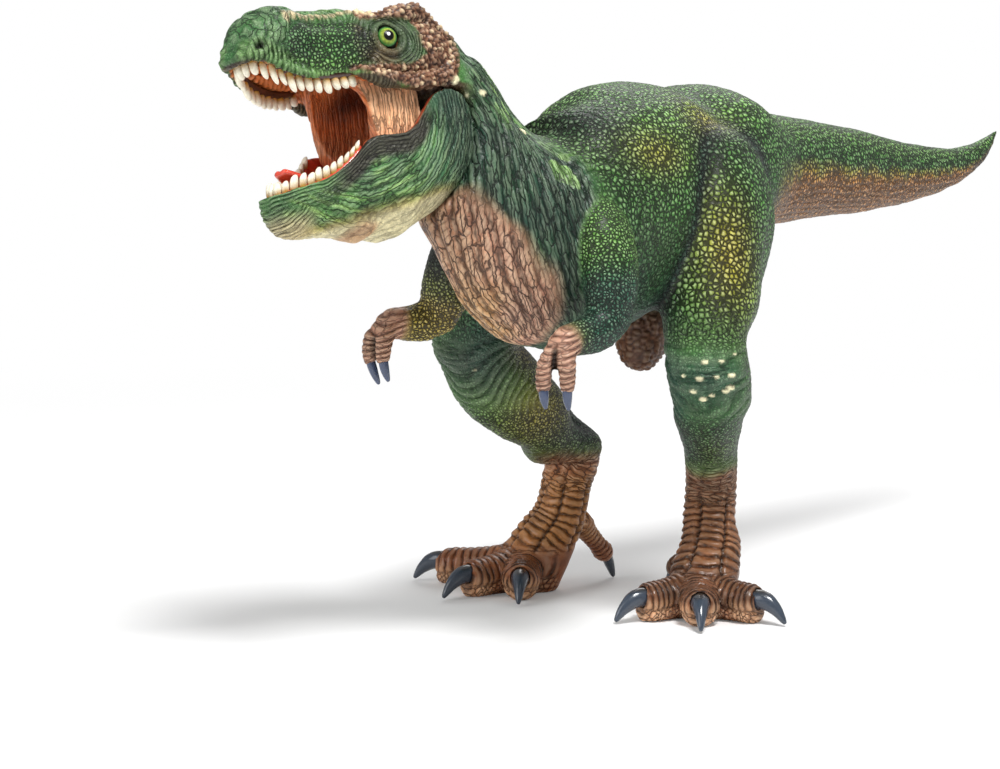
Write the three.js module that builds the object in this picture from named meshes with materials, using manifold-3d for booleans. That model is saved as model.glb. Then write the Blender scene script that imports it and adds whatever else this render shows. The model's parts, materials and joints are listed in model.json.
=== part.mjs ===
// A toy dinosaur figure: a two-legged meat eater about 140 mm tall, with a lower jaw that opens and closes.
// Separate mouldings plug into the trunk with round pegs, and the jaw swings on a pin through the skull.
// Millimetres, +Z up, facing -Y, its left side at +X, standing on z = 0.
import * as THREE from "three";
import { mergeVertices } from "three/addons/utils/BufferGeometryUtils.js";
import Module from "manifold-3d";

const wasm = await Module();
wasm.setup();

// Driving dimensions
const GAP = 0.3; // between mouldings that touch
const PEG_SLACK = 0.35; // round and beyond a peg
const LEG_SEAM = 12.5; // flat seam between a thigh and the trunk, from the middle
const SEAM_OVERLAP = 3; // how far a peg starts inside its own moulding
const LEG_PEG = { radius: 5, length: 8, at: [24, 92] };
const ARM_PEG = { radius: 2.6, length: 5.5 };
const TAIL_PEG = { radius: 6, length: 9 };
const NECK_PEG = { radius: 4.5, length: 10 };
const HEAD_AT = [-20.1, -44.1, 109.9]; // the middle of the jaw pin
const HEAD_TURN = -19; // degrees about +Z, to the figure's right
const HEAD_ROLL = -14; // degrees about its own long axis, left side up
const JAW_DISC = 5.4; // radius of the jaw's rear end, round the pin
const PIN = { radius: 1.2, length: 24.4 };
const HEAD_HALF = 20; // more than half the width of the head
const FAR = 140; // beyond the figure on every side

const degrees = THREE.MathUtils.degToRad;
const vector = (x, y, z) => new THREE.Vector3(x, y, z);

// Solids

// A closed geometry as a solid that can be joined and cut, moved by a matrix first.
function solid(geometry, matrix = new THREE.Matrix4()) {
  const bare = (geometry.index ? geometry.toNonIndexed() : geometry.clone()).applyMatrix4(matrix);
  bare.deleteAttribute("normal");
  bare.deleteAttribute("uv");
  const merged = mergeVertices(bare, 1e-4);
  return new wasm.Manifold(
    new wasm.Mesh({
      numProp: 3,
      vertProperties: merged.attributes.position.array,
      triVerts: new Uint32Array(merged.index.array),
    }),
  );
}

const union = (...solids) => solids.reduce((whole, one) => whole.add(one));

// Oval sections strung along a smooth line.
// Each stop is [x, y, z, half width, rise above the line, drop below it].
function loft(stops, { across = vector(1, 0, 0), steps = 2, sides = 16, square = 2, grow = 0 } = {}) {
  const line = new THREE.CatmullRomCurve3(stops.map(([x, y, z]) => vector(x, y, z)));
  const girth = new THREE.CatmullRomCurve3(stops.map(([, , , w, rise, drop]) => vector(w, rise, drop)));
  const rings = (stops.length - 1) * steps;
  const points = [];
  for (let i = 0; i <= rings; i++) {
    const at = line.getPoint(i / rings);
    const along = line.getTangent(i / rings);
    const size = girth.getPoint(i / rings);
    const side = across.clone().addScaledVector(along, -across.dot(along)).normalize();
    const up = vector().crossVectors(side, along).normalize();
    if (i === 0) at.addScaledVector(along, -Math.max(grow, 0));
    if (i === rings) at.addScaledVector(along, Math.max(grow, 0));
    for (let j = 0; j < sides; j++) {
      const angle = (2 * Math.PI * j) / sides;
      const c = Math.cos(angle);
      const s = Math.sin(angle);
      const sideways = Math.sign(c) * Math.abs(c) ** (2 / square) * (size.x + grow);
      const upwards = Math.sign(s) * Math.abs(s) ** (2 / square) * ((s > 0 ? size.y : size.z) + grow);
      points.push(at.clone().addScaledVector(side, sideways).addScaledVector(up, upwards));
    }
  }
  return solid(skin(points, sides));
}

// The closed skin over rings of points, with a fan over each end.
function skin(points, sides) {
  const rings = points.length / sides;
  const middle = (ring) =>
    points
      .slice(ring * sides, (ring + 1) * sides)
      .reduce((sum, p) => sum.add(p), vector())
      .divideScalar(sides);
  const all = [...points, middle(0), middle(rings - 1)];
  const faces = [];
  for (let j = 0; j < sides; j++) {
    const k = (j + 1) % sides;
    for (let i = 0; i < rings - 1; i++) {
      const [a, b] = [i * sides + j, i * sides + k];
      faces.push(a, a + sides, b, b, a + sides, b + sides);
    }
    faces.push(j, k, points.length);
    faces.push((rings - 1) * sides + k, (rings - 1) * sides + j, points.length + 1);
  }
  const made = new THREE.BufferGeometry();
  made.setAttribute("position", new THREE.Float32BufferAttribute(all.flatMap((p) => p.toArray()), 3));
  made.setIndex(faces);
  return made;
}

// A ball stretched to three half sizes.
function ball(at, halves) {
  const matrix = new THREE.Matrix4().makeTranslation(...at).scale(vector(...halves));
  return solid(new THREE.SphereGeometry(1, 14, 8), matrix);
}

// A round rod from one point to another.
function rod(from, to, radius, sides = 16) {
  const [start, end] = [vector(...from), vector(...to)];
  const turn = new THREE.Quaternion().setFromUnitVectors(vector(0, 1, 0), end.clone().sub(start).normalize());
  const matrix = new THREE.Matrix4().compose(start.clone().add(end).divideScalar(2), turn, vector(1, 1, 1));
  return solid(new THREE.CylinderGeometry(radius, radius, start.distanceTo(end), sides), matrix);
}

function box([x0, y0, z0], [x1, y1, z1]) {
  const matrix = new THREE.Matrix4().makeTranslation((x0 + x1) / 2, (y0 + y1) / 2, (z0 + z1) / 2);
  return solid(new THREE.BoxGeometry(x1 - x0, y1 - y0, z1 - z0), matrix);
}

function mesh(name, shape, colour, roughness = 0.6) {
  const { numProp, vertProperties, triVerts, numVert } = shape.getMesh();
  const positions = new Float32Array(numVert * 3);
  for (let i = 0; i < numVert; i++) {
    positions.set(vertProperties.subarray(i * numProp, i * numProp + 3), i * 3);
  }
  const geometry = new THREE.BufferGeometry();
  geometry.setAttribute("position", new THREE.BufferAttribute(positions, 3));
  geometry.setIndex(new THREE.BufferAttribute(triVerts, 1));
  geometry.computeVertexNormals();
  const made = new THREE.Mesh(geometry, new THREE.MeshStandardMaterial({ color: colour, roughness }));
  made.name = name;
  return made;
}

// Trunk, neck and tail share one skin, so the seams between them meet flush.

const BODY = [
  [-19, -41, 119, 11.5, 12.6, 10],
  [-16, -38.5, 112, 12.8, 16.3, 13],
  [-12, -35.5, 104, 13.8, 16.3, 17],
  [-8, -31, 96, 15.5, 16.6, 22],
  [-3, -23, 90, 18.5, 21, 26.5],
  [-1, -11, 89.5, 21, 25.4, 27],
  [-0.5, 3, 91.5, 22.5, 27, 26],
  [0.5, 18, 94.5, 23, 24.4, 25],
  [2, 33, 97, 22.5, 21, 21],
  [5, 48, 98, 19.5, 17.2, 17],
  [8, 64, 98, 15, 13.5, 14.5],
  [12, 85, 97, 12, 12, 12.4],
  [16.4, 110, 95.5, 9.8, 10.4, 10.6],
  [20.2, 135, 94.1, 7.4, 7.7, 7.9],
  [24.5, 160, 94.8, 4.7, 4.9, 5.1],
  [27, 174, 98, 2.9, 3, 3],
  [28.5, 185, 103.5, 0.9, 0.9, 0.9],
];

const body = () => loft(BODY, { sides: 20 });

const KEEL = [
  [0, 31, 76, 7, 8, 8],
  [0, 27, 67, 7.5, 8, 8],
  [0, 24, 59, 5.5, 6, 6],
  [0, 22.5, 54.5, 3, 3.5, 3.5],
];

// Flat seams that face away from the trunk, each with the middle of its round peg.
const TAIL_SEAM = { out: vector(0.12, 1, 0).normalize(), middle: vector(8, 62, 98) };
const NECK_SEAM = { out: vector(-0.45, -0.6, 0.66).normalize(), middle: vector(-9, -32, 97.5) };

const beyond = (shape, { out, middle }, gap = 0) => shape.trimByPlane(out.toArray(), out.dot(middle) + gap);

const before = (shape, { out, middle }) => {
  const inward = out.clone().negate();
  return shape.trimByPlane(inward.toArray(), inward.dot(middle));
};

// A round peg from outside a seam into the trunk.
function seamPeg({ out, middle }, { radius, length }, slack = 0) {
  const start = middle.clone().addScaledVector(out, SEAM_OVERLAP);
  const end = middle.clone().addScaledVector(out, -length - slack);
  return rod(start.toArray(), end.toArray(), radius + slack);
}

// Legs

const HIP_FOOT = 66; // the hip's seam ends at this height

const LEGS = {
  left: {
    side: 1,
    limb: [
      [12, 28, 109, 5, 8, 8],
      [16.6, 26.5, 101, 9.6, 14.5, 15.5],
      [19.5, 22.5, 89, 12.5, 18, 17.5],
      [20.5, 16.5, 77, 12.3, 15.5, 14.5],
      [23, 11, 66, 10.4, 11.5, 11.5],
      [23.8, 8.5, 57.5, 9.6, 9.5, 9.5],
      [22, 15.5, 48, 8.4, 8.8, 8.5],
      [18.2, 25.5, 38, 6.2, 6.2, 6],
      [15.6, 32, 29.5, 5.8, 5.8, 6],
      [15.8, 30, 19, 6.2, 5.4, 5.2],
      [16.5, 24, 9.5, 8, 6.5, 6.5],
      [16.5, 20, 3, 7.5, 6, 6.5],
      [16.5, 19.5, -1, 6.5, 5, 5.5],
    ],
    pad: [16.5, 20],
    claws: [[4.7, 1.5], [25.9, 0.8], [39.2, 16.7]],
    spur: [[13, 31, 15], [7, 36, 10], [2.5, 38.5, 6.6], [-0.5, 40.5, 0.4]],
  },
  right: {
    side: -1,
    limb: [
      [-12, 28, 109, 5, 8, 8],
      [-17, 26, 100.5, 9.8, 14.5, 15.5],
      [-21, 20, 88, 12.5, 17, 17],
      [-25, 10, 77, 12.3, 14.5, 14],
      [-28.5, 2, 68, 10.8, 11.5, 11.5],
      [-30, 0, 60, 9.8, 9.5, 9.5],
      [-28, 9, 51, 9, 10.5, 11],
      [-24, 23, 42, 7, 7.8, 8.6],
      [-21, 35, 34, 6, 6, 6.4],
      [-23.5, 34.5, 26, 5.8, 5.4, 5.2],
      [-25.5, 34, 17, 6.4, 5.6, 5.6],
      [-29.5, 31.5, 9, 8, 6.5, 6.5],
      [-32.5, 30, -1, 7, 5.5, 6],
    ],
    pad: [-32.5, 30],
    claws: [[-23.3, 9.5], [-42.2, 8], [-60.8, 27.3]],
    spur: [[-23.5, 39, 16], [-22, 45, 10.5], [-21, 49, 6.6], [-20.5, 53, 0.4]],
  },
};

// Half widths of a toe, its height, the length of its claw and how far the claw sits in it.
const TOE = { base: 5, tip: 3.8, high: 4.4, reach: 8, lap: 1.5 };

// A toe from the pad of the foot to where its claw starts.
function toe([bx, by], [cx, cy]) {
  const out = vector(cx - bx, cy - by, 0);
  const length = out.length() - TOE.reach + TOE.lap;
  out.normalize();
  const stops = [
    [0, 7, TOE.base, 5, 8],
    [0.35, 5.2, TOE.base, 4.6, 6],
    [0.62, 4.6, TOE.base * 0.86, TOE.high, 5.2],
    [0.86, 4.4, TOE.base * 0.92, TOE.high, 5],
    [1, 4.2, TOE.tip * 0.7, TOE.high * 0.75, 4.4],
  ].map(([t, z, ...girth]) => [bx + out.x * length * t, by + out.y * length * t, z, ...girth]);
  return loft(stops, { across: vector(out.y, -out.x, 0), sides: 10, steps: 1 });
}

// A curved claw from inside the end of a toe down to its point on the ground.
function claw([bx, by], [cx, cy], grow = 0) {
  const out = vector(cx - bx, cy - by, 0).normalize();
  const stops = [
    [TOE.reach + TOE.lap, 5, 1.9, 1.9],
    [TOE.reach - 0.6, 5.6, 2.2, 2.3],
    [TOE.reach - 3.4, 5.1, 1.8, 2],
    [2.1, 3.1, 1, 1.2],
    [0.35, 0.8, 0.4, 0.4],
  ].map(([back, z, w, h]) => [cx - out.x * back, cy - out.y * back, z, w, h, h]);
  return loft(stops, { across: vector(out.y, -out.x, 0), sides: 8, steps: 1, grow });
}

// The small fourth toe at the back of the foot, and its claw.
function spur([root, bend, end]) {
  const stops = [
    [...root, 3.4, 3.4, 3.4],
    [...bend, 2.9, 2.9, 2.9],
    [...end, 2.7, 2.6, 2.6],
    [...vector(...end).lerp(vector(...bend), -0.35).toArray(), 1.6, 1.6, 1.6],
  ];
  return loft(stops, { sides: 8 });
}

function spurClaw([, bend, end, tip], grow = 0) {
  const root = vector(...end).lerp(vector(...bend), 0.1).toArray();
  const knuckle = vector(...end).lerp(vector(...tip), 0.4).toArray();
  const stops = [
    [...root, 1.2, 1.2, 1.2],
    [knuckle[0], knuckle[1], knuckle[2] + 0.8, 1.25, 1.25, 1.25],
    [...tip, 0.4, 0.4, 0.4],
  ];
  return loft(stops, { sides: 8, steps: 2, grow });
}

const thigh = ({ limb }, grow = 0) => loft(limb.slice(0, 7), { sides: 14, grow });

// A peg that points across the figure from an upright seam into the trunk.
const sidePeg = (side, seam, { radius, length, at: [y, z] }, slack) => {
  const inner = side * (seam - length - slack);
  return rod([side * (seam + SEAM_OVERLAP), y, z], [inner, y, z], radius + slack);
};

const hipPeg = (side, slack = 0) => sidePeg(side, LEG_SEAM, LEG_PEG, slack);

// Everything on the trunk's side of an upright seam plane, above a height.
const innerHalf = (side, seam, lowest) => {
  const [a, b] = [side * seam, -side * FAR];
  return box([Math.min(a, b), -FAR, lowest], [Math.max(a, b), FAR, FAR]);
};

function legOf({ side, limb, pad, claws, spur: hind }) {
  const toes = claws.map((tip) => toe(pad, tip));
  const flesh = union(loft(limb, { sides: 14 }), ...toes, spur(hind));
  const shaped = flesh.subtract(innerHalf(side, LEG_SEAM, HIP_FOOT)).add(hipPeg(side));
  const nails = [...claws.map((tip) => claw(pad, tip, GAP)), spurClaw(hind, GAP)];
  return nails.reduce((rest, nail) => rest.subtract(nail), shaped).trimByPlane([0, 0, 1], 0);
}

// Arms

const SHOULDER_FOOT = 74; // the shoulder's seam ends at this height

const ARMS = {
  left: {
    side: 1,
    seam: 10.5,
    peg: [-25, 85],
    limb: [
      [12.5, -24, 94, 3.5, 4, 4],
      [15.5, -26, 87, 6, 7.5, 7.5],
      [17.8, -28, 78.5, 5.8, 6.8, 6.8],
      [18, -29.5, 71, 4.8, 5.2, 5.2],
      [16.5, -35, 67.8, 4, 4.2, 4.2],
      [14.5, -41, 67.2, 3.3, 3.4, 3.4],
      [13.3, -43.8, 65.5, 3, 2.4, 2.4],
    ],
    fingers: [
      [[13.4, -43, 66], [11.8, -45.5, 62.5], [11.2, -45.5, 57.5], [11.6, -45.2, 53.6]],
      [[14.6, -42.5, 66], [15.8, -44.2, 62.5], [15.9, -44, 57.5], [16, -43.6, 53.4]],
    ],
  },
  right: {
    side: -1,
    seam: 15,
    peg: [-25, 84],
    limb: [
      [-15, -23.5, 92, 3.5, 4, 4],
      [-18, -25.5, 85, 6, 7.5, 7.5],
      [-21, -27.5, 76, 5.4, 6.5, 6.5],
      [-23, -28.5, 69.5, 4.6, 5, 5],
      [-27, -33, 68, 3.9, 4, 4],
      [-29.5, -36.2, 68.2, 3.4, 3.4, 3.4],
      [-30.8, -38.4, 67, 3, 2.4, 2.4],
    ],
    fingers: [
      [[-30.4, -37.4, 67.5], [-32.6, -39.6, 65], [-33, -39.6, 60.5], [-31.4, -38.8, 55.6]],
      [[-29.2, -38, 67.5], [-29.2, -40.6, 64.8], [-29.4, -40.4, 60.8], [-28.6, -39.6, 56.4]],
    ],
  },
};

const armPeg = ({ side, seam, peg }, slack = 0) => sidePeg(side, seam, { ...ARM_PEG, at: peg }, slack);

const upperArm = ({ limb }, grow = 0) => loft(limb, { sides: 12, grow });

function finger([knuckle, bend, end]) {
  const stops = [
    [...knuckle, 2.4, 2.2, 2.2],
    [...bend, 2.1, 2.1, 2.1],
    [...end, 1.7, 1.7, 1.7],
    [end[0], end[1], end[2] - 1.2, 1.1, 1.1, 1.1],
  ];
  return loft(stops, { sides: 8 });
}

function fingerClaw([, bend, end, tip], grow = 0) {
  const root = vector(...end).lerp(vector(...bend), 0.15).toArray();
  const middle = vector(...end).lerp(vector(...tip), 0.55).toArray();
  const stops = [
    [...root, 0.85, 0.85, 0.85],
    [...end, 0.95, 1, 1],
    [middle[0], middle[1] - 0.3, middle[2], 0.8, 0.85, 0.85],
    [...tip, 0.3, 0.3, 0.3],
  ];
  return loft(stops, { sides: 8, steps: 1, grow });
}

function armOf(arm) {
  const { side, seam, fingers } = arm;
  const flesh = union(upperArm(arm), ...fingers.map(finger));
  const shaped = flesh.subtract(innerHalf(side, seam, SHOULDER_FOOT)).add(armPeg(arm));
  return fingers.reduce((rest, one) => rest.subtract(fingerClaw(one, GAP)), shaped);
}

// Head, drawn facing forward and level with the jaw pin along X at its origin, then turned into place.

const HEAD = new THREE.Matrix4()
  .makeTranslation(...HEAD_AT)
  .multiply(new THREE.Matrix4().makeRotationZ(degrees(HEAD_TURN)))
  .multiply(new THREE.Matrix4().makeRotationY(degrees(HEAD_ROLL)));

const inHead = (shape) => shape.transform(HEAD.elements);

// A side view drawn as [forward, up] points, made solid to the same distance on both sides of the middle.
function sideView(outline, half, grow = 0) {
  const curve = new THREE.SplineCurve(outline.map(([f, u]) => new THREE.Vector2(f, u)));
  const shape = new THREE.Shape(curve.getPoints(Math.round(outline.length * 1.5)));
  const bevel = { bevelEnabled: grow > 0, bevelSize: grow, bevelThickness: 0.01, bevelSegments: 1 };
  const slab = new THREE.ExtrudeGeometry(shape, { depth: 2 * half, steps: 1, ...bevel });
  const turn = new THREE.Matrix4().set(0, 0, -1, half, -1, 0, 0, 0, 0, 1, 0, 0, 0, 0, 0, 1);
  return solid(slab, turn);
}

const mirrored = (shape) => shape.add(shape.mirror([1, 0, 0]));

const SKULL = [
  [0, -44, 15, 2.6, 1.8, 1],
  [0, -42.9, 14.6, 4.6, 4.4, 2.4],
  [0, -40.6, 14.2, 6.2, 7.2, 4.5],
  [0, -37.5, 13.5, 7.8, 9.8, 7],
  [0, -33, 12.8, 9.3, 11.9, 9],
  [0, -28, 12.5, 10.4, 12.7, 9],
  [0, -22, 12.5, 11.5, 12.6, 9],
  [0, -16, 13, 12.6, 10.5, 9],
  [0, -8, 13.5, 13.4, 9.2, 8.6],
  [0, -1, 13.3, 13.4, 7.6, 8],
  [0, 5, 12, 12, 6.5, 8],
  [0, 9, 10.5, 9.5, 5.5, 8],
];

// The lip from the mouth's corner forward, then the profile of the snout and the back of the skull.
const SKULL_SIDE = [
  [-10, 4.5],
  [-2, 6.6],
  [1.7, 6.4],
  [7.7, 5.4],
  [13, 5.6],
  [18.5, 8],
  [22.3, 8.8],
  [26, 8.2],
  [29.3, 8.3],
  [32.5, 8.8],
  [35.2, 9.8],
  [38, 11.2],
  [40.2, 13],
  [42.5, 13.7],
  [46, 13.8],
  [46, 28],
  [-10, 28],
];

const BROW = [
  [10, -13, 19.8, 1.6, 1.8, 1.8],
  [9.6, -8, 21.2, 2.6, 2, 2],
  [9, -3.2, 21.8, 2.8, 2.2, 2.2],
  [8.8, 1.2, 17.8, 2.8, 2.2, 2.2],
  [10, 4.2, 14.2, 2.6, 2.2, 2.2],
  [11.6, 3.2, 9.6, 2, 1.8, 1.8],
];

const CHEEK = [
  [12, -22.5, 9.4, 1, 1.1, 1.1],
  [12.9, -17.5, 7.2, 1.6, 1.6, 1.6],
  [13.1, -9, 6.7, 1.8, 1.7, 1.7],
  [12.7, -1, 7.7, 1.8, 1.6, 1.6],
  [11.8, 3.5, 10, 1.5, 2, 2],
];

const EYE = { at: [10.6, -13, 16], radius: 2.7, socket: [13.8, -13, 16], socketHalves: [1.8, 3.8, 3.4] };

const eye = (grow = 0) => ball(EYE.at, Array(3).fill(EYE.radius + grow));

// The jaw seen from the side, starting over the pin and going round by its back edge.
const JAW_SIDE = [
  [0.3, JAW_DISC],
  [-3.2, 4.2],
  [-4.6, 0.8],
  [-4.1, -5.8],
  [-2.2, -12],
  [0.5, -16.1],
  [4.4, -19],
  [9, -21.4],
  [18.4, -23.4],
  [30, -23.4],
  [42, -24],
  [45, -19],
  [44.5, -13.8],
  [41.5, -13.3],
  [39.4, -13],
  [37.3, -12.4],
  [34.5, -11.9],
  [31.5, -11.2],
  [28.5, -9.9],
  [25, -7.5],
  [22.5, -5.1],
  [20, -3.7],
  [16.5, -3.5],
  [12.5, -3.4],
  [9.5, -1.6],
  [6.3, 2],
  [3.8, 4.4],
];

const JAW = [
  [0, -41, -15.8, 1.8, 2.2, 2.4],
  [0, -40.1, -15.6, 3.6, 4.5, 4.4],
  [0, -38, -15.3, 5.4, 8, 6.3],
  [0, -34, -14.7, 7.1, 12, 7.2],
  [0, -29, -13.5, 8.9, 20, 8.2],
  [0, -22, -11, 11.2, 28, 10.8],
  [0, -15, -9, 12.7, 34, 13.2],
  [0, -8, -7, 13.4, 36, 13.9],
  [0, 0, -4.5, 13.8, 36, 13],
  [0, 14, -4.5, 13.6, 36, 13],
];

// What lies above the floor of the mouth, seen from the side.
const MOUTH_FLOOR = [
  [-24, 40],
  [-24, -17.6],
  [0, -17.6],
  [8, -17.3],
  [15, -16.4],
  [22, -15.8],
  [29, -16],
  [34, -16],
  [38.5, -15],
  [40, -10],
  [44, 40],
];

const JAW_WALL = 2;
const THROAT = 16; // radius round the pin of the neck's front, between the sides of the jaw
const JAW_TURN = 6; // radius round the pin in which the top of the jaw turns

const jawShell = (grow = 0) => {
  const stops = grow < 0 ? JAW.slice(2) : JAW;
  return loft(stops, { sides: 18, steps: 1, square: 2.3, grow });
};

// The space inside the jaw that stays free of its walls from open to closed.
const CLOSING = [0, 7, 13, 20, 26]; // degrees

function insideJaw(gap) {
  const spaces = CLOSING.map((angle) => jawShell(-gap - JAW_WALL).rotate([-angle, 0, 0]));
  return spaces.reduce((all, space) => all.intersect(space));
}

const acrossHead = (radius, half, sides = 32) => rod([-half, 0, 0], [half, 0, 0], radius, sides);

const jawPin = (slack = 0) => acrossHead(PIN.radius + slack, PIN.length / 2 + slack, 16);

function lowerJaw() {
  const mouth = jawShell(-JAW_WALL).intersect(sideView(MOUTH_FLOOR, HEAD_HALF));
  const outer = jawShell().intersect(sideView(JAW_SIDE, HEAD_HALF));
  return outer.subtract(mouth).subtract(jawPin(GAP)).subtract(gum(LOWER_ARCH, GAP));
}

// The inside of the mouth: a palate between the tooth rows and cheeks that run down into the jaw.
const CHEEK_SIDE = [
  [6.6, 12],
  [20.8, 12.4],
  [21.6, 9.2],
  [20, 6.4],
  [18.9, 3],
  [18.2, -3],
  [16.4, -7.6],
  [13.2, -10.8],
  [6.6, -13.6],
];

const PALATE = [
  [0, -40, 15.4, 3, 0.8, 0.8],
  [0, -38, 14.8, 4.6, 1, 1],
  [0, -33, 13.7, 6.2, 1.2, 1.2],
  [0, -26, 13, 7.6, 1.2, 1.2],
  [0, -18, 13, 8.6, 1.2, 1.2],
];

const GULLET = [
  [0, -30, 3, 8.6, 7.6, 14],
  [0, -19, 2, 8.4, 8.4, 12],
  [0, -12, 0, 6.4, 7, 8],
  [0, -5, -1, 2.6, 3, 3],
];

function mouthLining(grow = 0) {
  const cheeks = sideView(CHEEK_SIDE, HEAD_HALF, grow).intersect(insideJaw(GAP - grow));
  const palate = loft(PALATE, { sides: 12, steps: 1, square: 3, grow });
  return cheeks.add(palate);
}

const gullet = () => loft(GULLET, { sides: 14, steps: 1 });

const MOUTH = [
  [0, -42, 9, 2.6, 5.6, 9],
  [0, -40, 8, 4.6, 6.8, 9],
  [0, -36, 6.4, 6.2, 7.8, 9],
  [0, -31, 5.4, 7.4, 7.8, 9],
  [0, -24, 5.2, 9, 7.4, 9],
  [0, -12, 5, 10.4, 7, 9],
];

function headOf() {
  const skull = loft(SKULL, { sides: 22, steps: 1, square: 2.5 }).intersect(sideView(SKULL_SIDE, HEAD_HALF));
  const ridges = mirrored(loft(BROW, { sides: 8, steps: 1 }).add(loft(CHEEK, { sides: 8, steps: 1 })));
  const sockets = mirrored(ball(EYE.socket, EYE.socketHalves));
  const mouth = loft(MOUTH, { sides: 14, steps: 1, square: 3 });
  return inHead(skull.add(ridges).subtract(sockets).subtract(mouth));
}

// Room for the jaw in the neck: its side view and the round space in which its top turns, less the front of
// the neck that stays between its sides.
function jawRoom() {
  const front = acrossHead(THROAT, HEAD_HALF).intersect(insideJaw(GAP));
  return sideView(JAW_SIDE, HEAD_HALF, GAP).add(acrossHead(JAW_TURN, HEAD_HALF)).subtract(front);
}

// Teeth

const UPPER_ARCH = [
  [9.7, -21.5, 9.3],
  [9, -26, 8.9],
  [8.1, -30, 9],
  [7.1, -33.5, 9.8],
  [6, -36.7, 11.2],
  [4.6, -39.2, 13.1],
  [2.6, -41.1, 14.1],
  [0, -41.9, 14.2],
];

const LOWER_ARCH = [
  [8.7, -22.4, -5.6],
  [7.9, -25.5, -8.3],
  [6.9, -29, -10.6],
  [5.9, -32, -11.8],
  [4.9, -34.8, -12.5],
  [3.6, -37, -12.9],
  [1.9, -38.3, -13.3],
  [0, -38.8, -13.4],
];

const archLine = (half) => {
  const rest = half.slice(0, -1).reverse();
  const points = [...half, ...rest.map(([x, y, z]) => [-x, y, z])];
  return new THREE.CatmullRomCurve3(points.map((p) => vector(...p)));
};

const GUM = { radius: 1.05, groove: 1.5 * GAP };
const TOOTH = { root: 0.85, tip: 0.35, sunk: 0.4, hook: 0.5, short: 0.88 };

// The strip of gum that carries a row of teeth.
function gum(half, grow = 0) {
  const line = archLine(half);
  const stops = line.getSpacedPoints(12).map((p) => [...p.toArray(), ...Array(3).fill(GUM.radius)]);
  return loft(stops, { across: vector(0, 0, 1), sides: 6, steps: 1, grow });
}

// A row of pointed teeth in a strip of gum, upright when up is 1 and hanging when it is -1.
function teeth(half, count, up, height) {
  const line = archLine(half);
  const row = [];
  for (let i = 0; i < count; i++) {
    const t = (i + 0.5) / count;
    const at = line.getPointAt(t);
    const corner = Math.abs(2 * t - 1);
    const tall = height * (1 - 0.3 * corner ** 2) * (i % 2 ? 1 : TOOTH.short);
    const root = at.clone().add(vector(0, 0, -up * TOOTH.sunk));
    const tip = at.clone().add(vector(0, up * TOOTH.hook, up * tall));
    const stops = [
      [...root.toArray(), ...Array(3).fill(TOOTH.root)],
      [...tip.toArray(), ...Array(3).fill(TOOTH.tip)],
    ];
    row.push(loft(stops, { sides: 4, steps: 1 }));
  }
  return union(gum(half), ...row);
}

const TONGUE = [
  [0, -36.8, -8.2, 1.8, 0.9, 0.9],
  [0, -34.4, -9.4, 3.1, 1.2, 1.2],
  [0, -30.5, -11.4, 4, 1.6, 1.8],
  [0, -26.5, -13, 4.6, 1.8, 2],
  [0, -23.5, -14, 4, 1.4, 1.2],
];

// Colours

const COLOUR = {
  green: 0x3f7a34,
  jaw: 0x3c6f33,
  palate: 0xb0603a,
  tooth: 0xece2c4,
  tongue: 0xc23a30,
  claw: 0x475064,
  eye: 0xa9b52e,
  steel: 0xb9bcc0,
};

// Assembly

const UPPER_ROW = { half: UPPER_ARCH, count: 24, up: -1, height: 4.4 };
const LOWER_ROW = { half: LOWER_ARCH, count: 22, up: 1, height: 3.6 };
const GLOSSY = 0.3;

// Everything let into the trunk from its sides: thighs, upper arms and their pegs.
function sideSockets() {
  const legs = Object.values(LEGS).flatMap((leg) => [
    thigh(leg, GAP).subtract(innerHalf(leg.side, LEG_SEAM - GAP, 0)),
    hipPeg(leg.side, PEG_SLACK),
  ]);
  const arms = Object.values(ARMS).flatMap((arm) => [
    upperArm(arm, GAP).subtract(innerHalf(arm.side, arm.seam - GAP, 0)),
    armPeg(arm, PEG_SLACK),
  ]);
  return union(...legs, ...arms);
}

function torso() {
  const whole = body().add(loft(KEEL, { sides: 12 }));
  return before(before(whole, TAIL_SEAM), NECK_SEAM)
    .subtract(sideSockets())
    .subtract(seamPeg(TAIL_SEAM, TAIL_PEG, PEG_SLACK))
    .subtract(seamPeg(NECK_SEAM, NECK_PEG, PEG_SLACK));
}

const tail = () => beyond(body(), TAIL_SEAM, GAP).add(seamPeg(TAIL_SEAM, TAIL_PEG));

function neckAndHead() {
  const neck = beyond(body(), NECK_SEAM, GAP).add(seamPeg(NECK_SEAM, NECK_PEG));
  const fittings = [
    jawRoom(),
    mouthLining(GAP),
    jawPin(GAP),
    mirrored(eye(GAP)),
    gum(UPPER_ARCH, GUM.groove),
  ];
  return fittings.reduce((rest, one) => rest.subtract(inHead(one)), neck.add(headOf()));
}

const row = ({ half, count, up, height }) => inHead(teeth(half, count, up, height));

function headParts() {
  return [
    mesh("head", neckAndHead(), COLOUR.green),
    mesh("mouth_lining", inHead(mouthLining().subtract(gullet())), COLOUR.palate),
    mesh("upper_teeth", row(UPPER_ROW), COLOUR.tooth, GLOSSY),
    mesh("left_eye", inHead(eye()), COLOUR.eye, GLOSSY),
    mesh("right_eye", inHead(eye().mirror([1, 0, 0])), COLOUR.eye, GLOSSY),
    mesh("jaw_pin", inHead(jawPin()), COLOUR.steel, GLOSSY),
    mesh("lower_jaw", inHead(lowerJaw()), COLOUR.jaw),
    mesh("lower_teeth", row(LOWER_ROW), COLOUR.tooth, GLOSSY),
    mesh("tongue", inHead(loft(TONGUE, { sides: 12 })), COLOUR.tongue, GLOSSY),
  ];
}

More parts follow.
